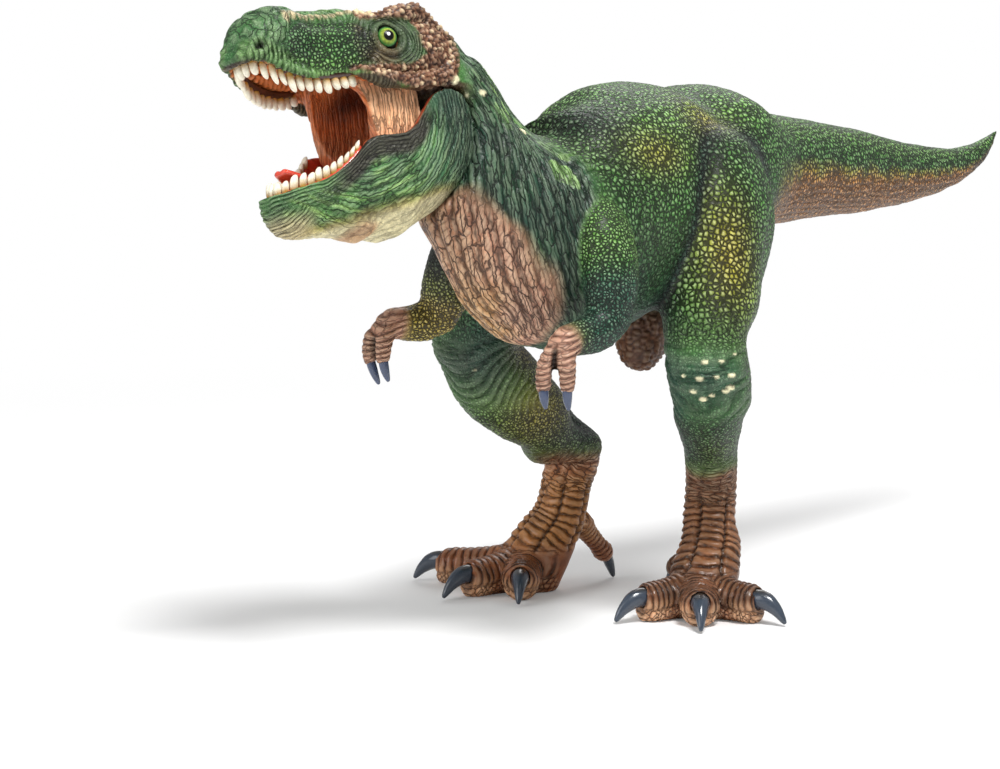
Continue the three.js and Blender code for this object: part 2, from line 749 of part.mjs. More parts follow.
function legParts([side, leg]) {
  const nails = ["inner", "middle", "outer"].map((which, i) =>
    mesh(`${side}_foot_claw_${which}`, claw(leg.pad, leg.claws[i]), COLOUR.claw, GLOSSY),
  );
  const hind = mesh(`${side}_foot_claw_back`, spurClaw(leg.spur), COLOUR.claw, GLOSSY);
  return [mesh(`${side}_leg`, legOf(leg), COLOUR.green), ...nails, hind];
}

function armParts([side, arm]) {
  const nails = arm.fingers.map((one, i) =>
    mesh(`${side}_hand_claw_${i + 1}`, fingerClaw(one), COLOUR.claw, GLOSSY),
  );
  return [mesh(`${side}_arm`, armOf(arm), COLOUR.green), ...nails];
}

const figure = new THREE.Group();
figure.add(mesh("torso", torso(), COLOUR.green), mesh("tail", tail(), COLOUR.green), ...headParts());
figure.add(...Object.entries(LEGS).flatMap(legParts));
figure.add(...Object.entries(ARMS).flatMap(armParts));

const extent = new THREE.Box3().setFromObject(figure);
const centre = extent.getCenter(vector());
figure.position.set(-centre.x, -centre.y, -extent.min.z);

export default figure;
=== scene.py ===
"""Looks of a toy dinosaur figure: moulded vinyl, painted by hand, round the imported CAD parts.

Metres, +Z up, facing -Y, its left side at +X. Tables and sculpting are in millimetres.
"""

import json
import logging
import math
from dataclasses import dataclass, field
from enum import Enum
from functools import partial
from itertools import product
from typing import Callable, Iterator, Sequence

import bpy
import numpy as np
from mathutils import Matrix, Vector
from mathutils.bvhtree import BVHTree
from mathutils.kdtree import KDTree

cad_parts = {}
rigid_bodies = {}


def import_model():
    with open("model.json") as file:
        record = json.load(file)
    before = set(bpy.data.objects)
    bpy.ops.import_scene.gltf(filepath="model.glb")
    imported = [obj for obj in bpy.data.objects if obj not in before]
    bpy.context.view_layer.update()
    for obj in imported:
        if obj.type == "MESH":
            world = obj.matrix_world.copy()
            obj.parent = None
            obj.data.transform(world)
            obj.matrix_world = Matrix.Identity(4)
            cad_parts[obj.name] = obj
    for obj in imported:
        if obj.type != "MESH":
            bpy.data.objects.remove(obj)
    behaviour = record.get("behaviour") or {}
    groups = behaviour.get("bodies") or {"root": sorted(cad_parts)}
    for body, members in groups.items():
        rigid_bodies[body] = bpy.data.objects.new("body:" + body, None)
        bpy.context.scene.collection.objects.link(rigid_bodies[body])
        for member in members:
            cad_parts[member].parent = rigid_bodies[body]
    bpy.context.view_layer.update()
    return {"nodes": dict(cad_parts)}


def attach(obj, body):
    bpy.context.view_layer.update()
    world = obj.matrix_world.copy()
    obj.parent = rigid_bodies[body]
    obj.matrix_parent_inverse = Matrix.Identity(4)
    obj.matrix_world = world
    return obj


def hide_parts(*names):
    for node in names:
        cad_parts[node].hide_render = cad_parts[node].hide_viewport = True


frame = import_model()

MM = 0.001
GRAIN = 0.44  # spacing of the points of the sculpted skin
HEAD_GRAIN = 0.32
CLAWS = [name for name in frame["nodes"] if "claw" in name]
LOG = logging.getLogger("figure")

Array = np.ndarray
Point = tuple[float, float, float]
Put = Callable[..., bpy.types.Node]  # adds a node to one material


# Colour


def linear(code: str) -> tuple[float, float, float, float]:
    """Turn an sRGB hex colour into linear values.

    Args:
        code: The colour as "#rrggbb".

    Returns:
        Linear red, green and blue, with an alpha of 1.
    """
    values = [int(code[i : i + 2], 16) / 255 for i in (1, 3, 5)]
    lit = [v / 12.92 if v <= 0.04045 else ((v + 0.055) / 1.055) ** 2.4 for v in values]
    return (lit[0], lit[1], lit[2], 1.0)


class Paint(Enum):
    """The paints on the figure, as sRGB."""

    LEAF = "#4a8339"
    MEADOW = "#7cab4e"
    FOREST = "#2f6234"
    TEAL = "#22584b"
    NIGHT = "#1a3230"
    OLIVE = "#80893a"
    YELLOW = "#b3a032"
    OCHRE = "#b5812f"
    TAN = "#b98562"
    ROSE = "#b07c68"
    PEACH = "#e2ab80"
    BROWN = "#7a4a2e"
    UMBER = "#4a2c1e"
    SCUTE = "#96603a"
    BEIGE = "#d2bb90"
    CREAM = "#e3dab2"
    MUSTARD = "#b9a054"
    CHARCOAL = "#3a332c"
    GUM = "#d2452f"
    PALATE = "#cf6f34"
    # Dark red-brown: painted shade deep in the mouth, on the throat, the back of the mouth floor and the back
    # of the tongue.
    THROAT = "#4a150c"
    TOOTH = "#efe8d2"
    ROOT = "#b98c3c"
    RUST = "#b4683a"
    SLATE = "#39424f"
    HORN = "#3d4964"
    INK = "#0d0c0b"
    IRIS = "#8fa63a"

    @property
    def rgb(self) -> Array:
        """The paint's linear colour, without alpha."""
        return np.array(linear(self.value)[:3])


# Patterns over points in millimetres


def scatter(x: Array, y: Array, z: Array, seed: int) -> Array:
    """Give a random number from 0 to 1 to each whole-number place of a grid.

    Args:
        x: The places along the first axis.
        y: The places along the second.
        z: The places along the third.
        seed: Picks the numbers.

    Returns:
        One number per place.
    """
    mixed = (x * 374761393 + y * 668265263 + z * 1103515245 + seed * 362437) & 0xFFFFFFFF
    mixed = ((mixed ^ (mixed >> 13)) * 1274126177) & 0xFFFFFFFF
    return ((mixed ^ (mixed >> 16)) & 0xFFFFFF) / 0xFFFFFF


def cloud(places: Array, size: float | Sequence[float], seed: int = 0) -> Array:
    """Smooth random values from -1 to 1.

    Args:
        places: Points, one per row.
        size: The distance over which the values change, or one for each axis.
        seed: Picks the pattern.

    Returns:
        One value per point.
    """
    spots = places / np.asarray(size, float)
    base = np.floor(spots)
    part = spots - base
    part = part * part * (3 - 2 * part)
    corner = base.astype(np.int64)
    total = np.zeros(len(places))
    for step in product((0, 1), repeat=3):
        weight = np.ones(len(places))
        for axis, up in enumerate(step):
            weight *= part[:, axis] if up else 1 - part[:, axis]
        total += weight * scatter(*(corner[:, axis] + step[axis] for axis in range(3)), seed)
    return 2 * total - 1


def clouds(places: Array, size: float, octaves: int = 3, seed: int = 0) -> Array:
    """Several sizes of cloud on top of each other, each half the last."""
    layers = [cloud(places, size / 2**i, seed + i) / 2**i for i in range(octaves)]
    return sum(layers) / (2 - 2 ** (1 - octaves))


def cells(places: Array, size: float | Sequence[float], seed: int = 0) -> tuple[Array, Array]:
    """A packing of rounded cells, like scales.

    Args:
        places: Points, one per row.
        size: The spacing of the cells, or one for each axis.
        seed: Picks the pattern.

    Returns:
        The height of a cell's dome, 0 in the gaps and 1 on top, and a random tone per cell.
    """
    spots = places / np.asarray(size, float)
    corner = np.floor(spots).astype(np.int64)
    near = np.full(len(places), 9.0)
    second = np.full(len(places), 9.0)
    tone = np.zeros(len(places))
    for step in product((-1, 0, 1), repeat=3):
        cell = corner + np.array(step)
        jitter = [scatter(cell[:, 0], cell[:, 1], cell[:, 2], seed + 11 * axis) for axis in (1, 2, 3)]
        away = np.sqrt(sum((cell[:, i] + 0.15 + 0.7 * jitter[i] - spots[:, i]) ** 2 for i in range(3)))
        closer = away < near
        second = np.where(closer, near, np.minimum(second, away))
        near = np.where(closer, away, near)
        tone = np.where(closer, jitter[0], tone)
    return np.clip((second - near) * 1.9, 0, 1) ** 0.6, tone


def folds(phase: Array) -> Array:
    """Rounded folds with sharp valleys at whole numbers, from 0 in a valley to 1 on a crest."""
    return np.abs(np.sin(math.pi * phase)) ** 0.5


def shingles(phase: Array) -> Array:
    """Overlapping bands: each rises slowly to its edge and drops sharply, from 0 to 1."""
    part = phase - np.floor(phase)
    return (0.35 + 0.65 * part**0.7) * (1 - np.exp(-(1 - part) / 0.09)) * (1 - 0.3 * np.exp(-part / 0.1))


def ease(values: Array, low: float, high: float) -> Array:
    """Rise smoothly from 0 at low to 1 at high; high may be the smaller of the two."""
    part = np.clip((values - low) / (high - low), 0, 1)
    return part * part * (3 - 2 * part)


def bell(values: Array, wide: float) -> Array:
    """Fall off smoothly from 1 at 0, over so wide a stretch on both sides."""
    return np.exp(-((values / wide) ** 2))


def near_line(places: Array, line: Sequence[Sequence[float]]) -> tuple[Array, Array]:
    """Distance from points to a bent line, and how far along it the nearest place is.

    Args:
        places: Points of any number of axes, one per row.
        line: The corners of the line, with as many axes.

    Returns:
        The distance and the length along the line.
    """
    corners = np.asarray(line, float)
    best = np.full(len(places), 1e9)
    along = np.zeros(len(places))
    gone = 0.0
    for start, end in zip(corners[:-1], corners[1:]):
        run = end - start
        length = float(np.linalg.norm(run))
        part = np.clip((places - start) @ run / length**2, 0, 1)
        away = np.linalg.norm(places - start - part[:, None] * run, axis=1)
        closer = away < best
        best = np.where(closer, away, best)
        along = np.where(closer, gone + part * length, along)
        gone += length
    return best, along


@dataclass(frozen=True)
class Place:
    """Where points lie along and round a limb."""

    along: Array  # mm from the limb's first stop
    angle: Array  # radians round it, 0 at its left and a quarter turn at its upper side
    radius: Array  # mm from its centre line
    out: Array  # mm outside its skin


@dataclass(frozen=True)
class Limb:
    """A centre line with the half width, rise and drop of the limb that follows it."""

    stops: tuple[tuple[float, ...], ...]
    samples: int = 160

    def dense(self) -> Array:
        """Fill in the stops along a smooth curve.

        Returns:
            A row like a stop for each sample.
        """
        table = np.array(self.stops, float)
        padded = np.vstack([2 * table[0] - table[1], table, 2 * table[-1] - table[-2]])
        t = np.linspace(0, len(table) - 1.000001, self.samples)
        i = t.astype(int)
        f = (t - i)[:, None]
        a, b, c, d = (padded[i + k] for k in range(4))
        bend, twist = 2 * a - 5 * b + 4 * c - d, 3 * b - a - 3 * c + d
        return 0.5 * (2 * b + (c - a) * f + bend * f**2 + twist * f**3)

    def place(self, points: Array) -> Place:
        """Find where points lie along and round the limb.

        Args:
            points: Points in millimetres, one per row.

        Returns:
            Their places.
        """
        table = self.dense()
        line, girth = table[:, :3], table[:, 3:]
        tangent = np.gradient(line, axis=0)
        tangent /= np.linalg.norm(tangent, axis=1)[:, None]
        length = np.concatenate([[0], np.cumsum(np.linalg.norm(np.diff(line, axis=0), axis=1))])
        side = np.array([1.0, 0, 0]) - tangent[:, :1] * tangent
        side /= np.linalg.norm(side, axis=1)[:, None]
        up = np.cross(side, tangent)
        nearest = np.concatenate(
            [np.argmin((line**2).sum(1) - 2 * part @ line.T, axis=1) for part in np.array_split(points, 40)]
        )
        away = points - line[nearest]
        forward = (away * tangent[nearest]).sum(1)
        a = (away * side[nearest]).sum(1)
        b = (away * up[nearest]).sum(1)
        radius = np.hypot(a, b) + 1e-6
        size = girth[nearest]
        height = np.where(b > 0, size[:, 1], size[:, 2])
        reach = 1 / np.sqrt((a / radius / size[:, 0]) ** 2 + (b / radius / height) ** 2)
        past = np.where((nearest == 0) | (nearest == len(line) - 1), np.abs(forward), 0)
        out = np.maximum(radius - reach, past - 1)
        return Place(length[nearest] + forward, np.arctan2(b, a), radius, out)


TRUNK = Limb((
    (-8.2, -91, 119, 11.5, 12.6, 10), (-1.2, -85.5, 104, 13.8, 16.3, 17), (2.8, -81, 96, 15.5, 16.6, 22),
    (7.8, -73, 90, 18.5, 21, 26.5), (9.8, -61, 89.5, 21, 25.4, 27), (10.3, -47, 91.5, 22.5, 27, 26),
    (11.3, -32, 94.5, 23, 24.4, 25), (12.8, -17, 97, 22.5, 21, 21), (15.8, -2, 98, 19.5, 17.2, 17),
    (18.8, 14, 98, 15, 13.5, 14.5), (22.8, 35, 97, 12, 12, 12.4), (27.2, 60, 95.5, 9.8, 10.4, 10.6),
    (31, 85, 94.1, 7.4, 7.7, 7.9), (35.3, 110, 94.8, 4.7, 4.9, 5.1), (37.8, 124, 98, 2.9, 3, 3),
    (39.3, 135, 103.5, 0.9, 0.9, 0.9),
))

LEG = {
    "left": Limb((
        (22.8, -22, 109, 5, 8, 8), (27.4, -23.5, 101, 9.6, 14.5, 15.5), (30.3, -27.5, 89, 12.5, 18, 17.5),
        (31.3, -33.5, 77, 12.3, 15.5, 14.5), (33.8, -39, 66, 10.4, 11.5, 11.5),
        (34.6, -41.5, 57.5, 9.6, 9.5, 9.5),
        (32.8, -34.5, 48, 8.4, 8.8, 8.5), (29, -24.5, 38, 6.2, 6.2, 6), (26.4, -18, 29.5, 5.8, 5.8, 6),
        (26.6, -20, 19, 6.2, 5.4, 5.2), (27.3, -26, 9.5, 8, 6.5, 6.5), (27.3, -30, 0, 7, 5.5, 6),
    )),
    "right": Limb((
        (-1.2, -22, 109, 5, 8, 8), (-6.2, -24, 100.5, 9.8, 14.5, 15.5), (-10.2, -30, 88, 12.5, 17, 17),
        (-14.2, -40, 77, 12.3, 14.5, 14), (-17.7, -48, 68, 10.8, 11.5, 11.5), (-19.2, -50, 60, 9.8, 9.5, 9.5),
        (-17.2, -41, 51, 9, 10.5, 11), (-13.2, -27, 42, 7, 7.8, 8.6), (-10.2, -15, 34, 6, 6, 6.4),
        (-12.7, -15.5, 26, 5.8, 5.4, 5.2), (-14.7, -16, 17, 6.4, 5.6, 5.6), (-18.7, -18.5, 9, 8, 6.5, 6.5),
        (-21.7, -20, 0, 7, 5.5, 6),
    )),
}

ARM = {
    "left": Limb((
        (23.3, -74, 94, 3.5, 4, 4), (26.3, -76, 87, 6, 7.5, 7.5), (28.6, -78, 78.5, 5.8, 6.8, 6.8),
        (28.8, -79.5, 71, 4.8, 5.2, 5.2), (27.3, -85, 67.8, 4, 4.2, 4.2), (25.3, -91, 67.2, 3.3, 3.4, 3.4),
        (24, -95, 62.5, 4.4, 3, 3), (24.5, -95.2, 57, 4.4, 3, 3),
    )),
    "right": Limb((
        (-4.2, -73.5, 92, 3.5, 4, 4), (-7.2, -75.5, 85, 6, 7.5, 7.5), (-10.2, -77.5, 76, 5.4, 6.5, 6.5),
        (-12.2, -78.5, 69.5, 4.6, 5, 5), (-16.2, -83, 68, 3.9, 4, 4), (-18.7, -86.2, 68.2, 3.4, 3.4, 3.4),
        (-20.2, -90, 65, 4.4, 3, 3), (-20.3, -90, 59, 4.4, 3, 3),
    )),
}

# The pad of each foot, the tips of its front claws, on the ground, and the spacing of each toe's rings.
FEET = {
    "left": ((27.3, -30.0), ((15.5, -48.5), (36.7, -49.2), (50.0, -33.3)), (1.3, 1.1, 1.4)),
    "right": ((-21.7, -20.0), ((-12.5, -40.5), (-31.4, -42.0), (-50.0, -22.7)), (1.2, 1.7, 2.0)),
}
SPURS = {
    "left": ((23.8, -19.0, 15.0), (17.8, -14.0, 10.0), (13.3, -11.5, 6.6)),
    "right": ((-12.7, -11.0, 16.0), (-11.2, -5.0, 10.5), (-10.2, -1.0, 6.6)),
}

# The place between the two fingers of each hand, seen from above, and the way from one to the other.
HAND_GAP = {"left": ((24.4, -94.8), (0.96, 0.28)), "right": ((-20.1, -90.1), (0.98, -0.2))}


@dataclass(frozen=True)
class HeadFrame:
    """The head's own axes: L to its left, F forward and U up, from the middle of the jaw pin."""

    middle: Point = (-9.3, -94.067, 109.9)
    turn: float = math.radians(-19)
    roll: float = math.radians(-14)

    def matrix(self) -> Array:
        """Columns are the head's left, back and up axes."""
        return np.array(Matrix.Rotation(self.turn, 3, "Z") @ Matrix.Rotation(self.roll, 3, "Y"))

    def local(self, points: Array) -> Array:
        """Points in the head's axes, as L, F and U."""
        inside = (points - np.array(self.middle)) @ self.matrix()
        return inside * np.array([1, -1, 1])

    def world(self, points: Array) -> Array:
        """Points given as L, F and U, in the row's axes."""
        return (np.asarray(points, float) * np.array([1, -1, 1])) @ self.matrix().T + np.array(self.middle)


HEAD = HeadFrame()


# Mesh tools


def alone(piece: bpy.types.Object) -> None:
    """Select one object and nothing else.

    Args:
        piece: The object.
    """
    bpy.ops.object.select_all(action="DESELECT")
    piece.select_set(True)
    bpy.context.view_layer.objects.active = piece


def finish_modifier(piece: bpy.types.Object, kind: str, **settings: object) -> None:
    """Add a modifier to a piece and apply it.

    Args:
        piece: The object.
        kind: The modifier's type.
        settings: Its settings.
    """
    alone(piece)
    bpy.ops.object.modifier_add(type=kind)
    modifier = piece.modifiers[-1]
    for name, value in settings.items():
        setattr(modifier, name, value)
    bpy.ops.object.modifier_apply(modifier=modifier.name)


def cast(node: str, name: str) -> bpy.types.Object:
    """Copy a CAD node with its shared points merged, as the start of a sculpted piece.

    Args:
        node: The node.
        name: The copy's name.

    Returns:
        The copy.
    """
    piece = bpy.data.objects.new(name, frame["nodes"][node].data.copy())
    bpy.context.scene.collection.objects.link(piece)
    piece.data.materials.clear()
    alone(piece)
    bpy.ops.object.mode_set(mode="EDIT")
    bpy.ops.mesh.select_all(action="SELECT")
    bpy.ops.mesh.remove_doubles(threshold=1e-6)
    bpy.ops.object.mode_set(mode="OBJECT")
    return piece


def swell(piece: bpy.types.Object, amount: float) -> None:
    """Move a piece's skin outwards by an amount in millimetres."""
    finish_modifier(piece, "DISPLACE", strength=amount * MM, mid_level=0.0)


def join(pieces: Sequence[bpy.types.Object], name: str) -> bpy.types.Object:
    """Join pieces into the first of them.

    Args:
        pieces: The pieces.
        name: The new name.

    Returns:
        The joined piece.
    """
    bpy.ops.object.select_all(action="DESELECT")
    for piece in pieces:
        piece.select_set(True)
    bpy.context.view_layer.objects.active = pieces[0]
    bpy.ops.object.join()
    pieces[0].name = name
    return pieces[0]


def regrain(piece: bpy.types.Object, spacing: float) -> None:
    """Give a piece an even skin of small faces and drop any stray shell.

    Args:
        piece: The piece.
        spacing: The side of a face in millimetres.
    """
    alone(piece)
    piece.data.remesh_voxel_size = spacing * MM
    piece.data.remesh_voxel_adaptivity = 0
    bpy.ops.object.voxel_remesh()
    top = int(np.argmax(coordinates(piece)[:, 2]))
    bpy.ops.object.mode_set(mode="EDIT")
    bpy.ops.mesh.select_all(action="DESELECT")
    bpy.ops.object.mode_set(mode="OBJECT")
    piece.data.vertices[top].select = True
    bpy.ops.object.mode_set(mode="EDIT")
    bpy.ops.mesh.select_linked()
    bpy.ops.mesh.select_all(action="INVERT")
    bpy.ops.mesh.delete(type="VERT")
    bpy.ops.object.mode_set(mode="OBJECT")


def carve_with(piece: bpy.types.Object, tool: bpy.types.Object, operation: str) -> None:
    """Cut a piece by a closed tool: INTERSECT keeps what is inside it, DIFFERENCE what is outside."""
    finish_modifier(piece, "BOOLEAN", operation=operation, object=tool, solver="MANIFOLD")


def double(piece: bpy.types.Object, name: str) -> bpy.types.Object:
    """Copy a piece with a mesh of its own.

    Args:
        piece: The piece.
        name: The copy's name.

    Returns:
        The copy.
    """
    other = bpy.data.objects.new(name, piece.data.copy())
    bpy.context.scene.collection.objects.link(other)
    return other


def discard(*pieces: bpy.types.Object) -> None:
    """Delete tools and left-over pieces."""
    for piece in pieces:
        bpy.data.objects.remove(piece)


def keep(piece: bpy.types.Object, name: str, values: Array) -> None:
    """Keep one value per point as an attribute of a piece's mesh."""
    held = piece.data.attributes.new(name, "FLOAT", "POINT")
    held.data.foreach_set("value", values.astype(np.float32))


def read(piece: bpy.types.Object, name: str) -> tuple[bpy.types.Attribute, str, Array]:
    """Read one of a piece's attributes.

    Args:
        piece: The piece.
        name: The attribute's name.

    Returns:
        The attribute, what its values are called, and the values, a row per point.
    """
    held = piece.data.attributes[name]
    kind, width = ("color", 4) if held.data_type == "FLOAT_COLOR" else ("value", 1)
    values = np.zeros(len(held.data) * width, np.float32)
    held.data.foreach_get(kind, values)
    return held, kind, values.reshape(-1, width)


def heal_cut(piece: bpy.types.Object, source: bpy.types.Object, tree: KDTree) -> None:
    """Give the points that a cut made the paint of the nearest point of the skin before the cut.

    Args:
        piece: The piece, after the cut.
        source: The skin before the cut, where every point is marked "kept".
        tree: The source's points, in metres.
    """
    made = np.flatnonzero(np.abs(read(piece, "kept")[2][:, 0] - 1) > 1e-4)
    at = coordinates(piece) * MM
    nearest = np.array([tree.find(at[index])[1] for index in made], int)
    for name in ("coat", *MASKS, *PHASES):
        held, kind, values = read(piece, name)
        values[made] = read(source, name)[2][nearest]
        held.data.foreach_set(kind, values.ravel())


def clear_of(nodes: Sequence[str], points: Array, rim_mm: float = 1.2) -> Array:
    """Mark the sockets of some CAD nodes, so that they are left as they are.

    Args:
        nodes: The nodes that sit in sockets.
        points: Points in millimetres, one per row.
        rim_mm: How far round a node its socket reaches.

    Returns:
        0 against a node, rising to 1 past its socket.
    """
    clear = np.ones(len(points))
    for node in nodes:
        shape = frame["nodes"][node].data
        corners = np.array([corner.co for corner in shape.vertices]) / MM
        half = np.ptp(corners, axis=0) / 2 + 2 * rim_mm
        close = np.flatnonzero((np.abs(points - corners.mean(0)) < half).all(1))
        tree = BVHTree.FromPolygons(corners.tolist(), [tuple(face.vertices) for face in shape.polygons])
        away = np.array([tree.find_nearest(spot)[3] for spot in points[close].tolist()])
        clear[close] = np.minimum(clear[close], ease(away, 0.3 * rim_mm, rim_mm))
    return clear


def coordinates(piece: bpy.types.Object) -> Array:
    """Read a piece's points.

    Args:
        piece: The piece.

    Returns:
        The points in millimetres, one per row.
    """
    values = np.zeros(len(piece.data.vertices) * 3)
    piece.data.vertices.foreach_get("co", values)
    return values.reshape(-1, 3) / MM


PHASES = ("score_phase", "cross_phase", "net_u", "net_v")  # each grows by one from line to line
DEPTHS = ("score_depth", "cross_depth", "net_depth")
MASKS = ("crevice", "raised", "pebble", "gloss", "fine", *DEPTHS)
FAINT = 0.004  # a mask below this shows nothing


class Skin:
    """A piece's skin while it is being sculpted and painted, in millimetres."""

    def __init__(self, piece: bpy.types.Object) -> None:
        """Read the points and edges of a piece.

        Args:
            piece: The object, already evenly meshed.
        """
        self.piece = piece
        self.points = coordinates(piece)
        ends = np.zeros(len(piece.data.edges) * 2, np.int32)
        piece.data.edges.foreach_get("vertices", ends)
        self.ends = ends.reshape(-1, 2)
        self.links = np.bincount(ends, minlength=len(self.points)).clip(1)
        self.coat = np.ones((len(self.points), 3))
        self.relief, self.pebble, self.gloss, self.fine = (np.zeros(len(self.points)) for _ in range(4))
        self.phases = {name: np.zeros(len(self.points)) for name in PHASES}
        self.depths = {name: np.zeros(len(self.points)) for name in DEPTHS}

    def mean(self, values: Array, rounds: int = 1) -> Array:
        """The mean over each point's neighbours of one value per point.

        Args:
            values: The values.
            rounds: How many times the mean is taken.

        Returns:
            One value per point.
        """
        a, b = self.ends[:, 0], self.ends[:, 1]
        for _ in range(rounds):
            total = np.bincount(a, values[b], len(values)) + np.bincount(b, values[a], len(values))
            values = total / self.links
        return values

    def relax(self, rounds: int, strength: Array | float) -> None:
        """Smooth the shape.

        Args:
            rounds: How many times the points move towards their neighbours.
            strength: How far they move, 0 to 1.
        """
        for _ in range(rounds):
            moved = np.stack([self.mean(self.points[:, i]) for i in range(3)], axis=1)
            self.points += (moved - self.points) * np.reshape(strength, (-1, 1)) * 0.7
        self.write()

    def write(self) -> None:
        """Put the points back into the mesh."""
        self.piece.data.vertices.foreach_set("co", (self.points * MM).ravel())
        self.piece.data.update()

    def normals(self) -> Array:
        """Read the outward directions at the points.

        Returns:
            One direction per row.
        """
        values = np.zeros(len(self.points) * 3)
        self.piece.data.vertex_normals.foreach_get("vector", values)
        return values.reshape(-1, 3)

    def fold(self, mask: Array, phase: Array, tall: Array | float, level: float = 0.7) -> None:
        """Raise folds, so many millimetres tall, of which a share, the level, lies below the skin."""
        self.relief += mask * (folds(phase) - level) * tall

    def knobs(
        self, mask: Array, size: float | Sequence[float], seed: int, tall: float, level: float = 0.6,
        places: Array | None = None,
    ) -> None:
        """Raise rounded scales.

        Args:
            mask: Where they are, 0 to 1.
            size: Their spacing in millimetres, or one for each axis.
            seed: Picks the pattern.
            tall: Their height in millimetres.
            level: The share of the height that lies below the skin.
            places: Where the points lie in the pattern, if not at their own places.
        """
        near = np.flatnonzero(mask > FAINT)
        domes = cells((self.points if places is None else places)[near], size, seed)[0]
        self.relief[near] += (domes - level) * tall * mask[near]

    def spray(self, *coats: tuple[Array, Paint, float]) -> None:
        """Blend paints over the coat, one after the other.

        Args:
            coats: For each paint where it goes, 0 to 1, the paint, and how well it covers.
        """
        for mask, paint, strength in coats:
            share = np.clip(mask * strength, 0, 1)[:, None]
            self.coat = self.coat * (1 - share) + paint.rgb * share

    def mark(self, depth: str, mask: Array, **phases: Array) -> None:
        """Mark fine lines where they are deeper than those already there.

        Args:
            depth: The name of the lines' depth.
            mask: How deep the lines are, 0 to 1.
            phases: For each phase's name a smooth value that grows by one from line to line.
        """
        wins = mask > self.depths[depth]
        self.depths[depth][wins] = mask[wins]
        for name, phase in phases.items():
            self.phases[name][wins] = phase[wins]

    def score(self, mask: Array, phase: Array, layer: str = "score") -> None:
        """Mark fine lines, cut where the phase is a whole number, on the layer "score" or "cross"."""
        self.mark(f"{layer}_depth", mask, **{f"{layer}_phase": phase})

    def net(self, mask: Array, u: Array, v: Array) -> None:
        """Mark a net of wrinkles round long cells, each a unit of u across and a unit of v along."""
        self.mark("net_depth", mask, net_u=u, net_v=v)

    def bare(self, mask: Array) -> None:
        """Take scales and lines away where the mask is near 1."""
        for marks in (self.pebble, *self.depths.values()):
            marks *= 1 - mask

    def emboss(self, floor: float | None = None) -> None:
        """Move the points out by the relief.

        Args:
            floor: The height that they are kept above, if any.
        """
        self.points += self.normals() * self.relief[:, None]
        if floor is not None:
            self.points[:, 2] = np.maximum(self.points[:, 2], floor)
        self.write()

    def store(self) -> None:
        """Keep the paint and its masks as attributes of the mesh."""
        level = self.mean(self.relief, 5)
        wide = self.mean(level, 14)
        hollow = (self.relief - level) + 0.6 * (level - wide)
        colour = self.piece.data.attributes.new("coat", "FLOAT_COLOR", "POINT")
        rgba = np.column_stack([self.coat, np.ones(len(self.coat))])
        colour.data.foreach_set("color", rgba.astype(np.float32).ravel())
        masks = {
            "crevice": 1 - np.exp(-np.clip(-hollow, 0, 9) / 0.22),
            "raised": 1 - np.exp(-np.clip(hollow, 0, 9) / 0.2),
            "pebble": self.pebble, "gloss": self.gloss, "fine": self.fine, "kept": np.ones(len(self.points)),
        }
        for name, values in {**self.phases, **self.depths, **masks}.items():
            keep(self.piece, name, values if name in PHASES else np.clip(values, 0, 1))


# Materials


def add(
    tree: bpy.types.NodeTree, kind: str, links: dict[str | int, object] | None = None, **settings: object
) -> bpy.types.Node:
    """Add a node with its settings and inputs.

    Args:
        tree: The material's node tree.
        kind: The node's type, without the words that every shader node's type begins with.
        links: Input name or number to a value, a socket to link, or a node whose first result is linked.
        settings: Attributes of the node.

    Returns:
        The node.
    """
    node = tree.nodes.new(f"ShaderNode{kind}")
    for name, value in settings.items():
        setattr(node, name, value)
    for name, value in (links or {}).items():
        socket = node.inputs[name]
        if isinstance(value, bpy.types.Node):
            value = next(result for result in value.outputs if result.enabled)
        if isinstance(value, bpy.types.NodeSocket):
            tree.links.new(value, socket)
        else:
            socket.default_value = value
    return node


# Settings of the arithmetic whose result is held between 0 and 1, and of a mix of two colours.
TIMES, LESS, PLUS, MOST = (
    {"operation": kind, "use_clamp": True} for kind in ("MULTIPLY", "SUBTRACT", "ADD", "MAXIMUM")
)
COLOURS = {"data_type": "RGBA"}


def fresh(name: str) -> tuple[bpy.types.Material, Put]:
    """Make an empty node material.

    Args:
        name: The material's name.

    Returns:
        The material and a call that adds a node to it.
    """
    material = bpy.data.materials.new(name)
    material.use_nodes = True
    material.node_tree.nodes.clear()
    return material, partial(add, material.node_tree)


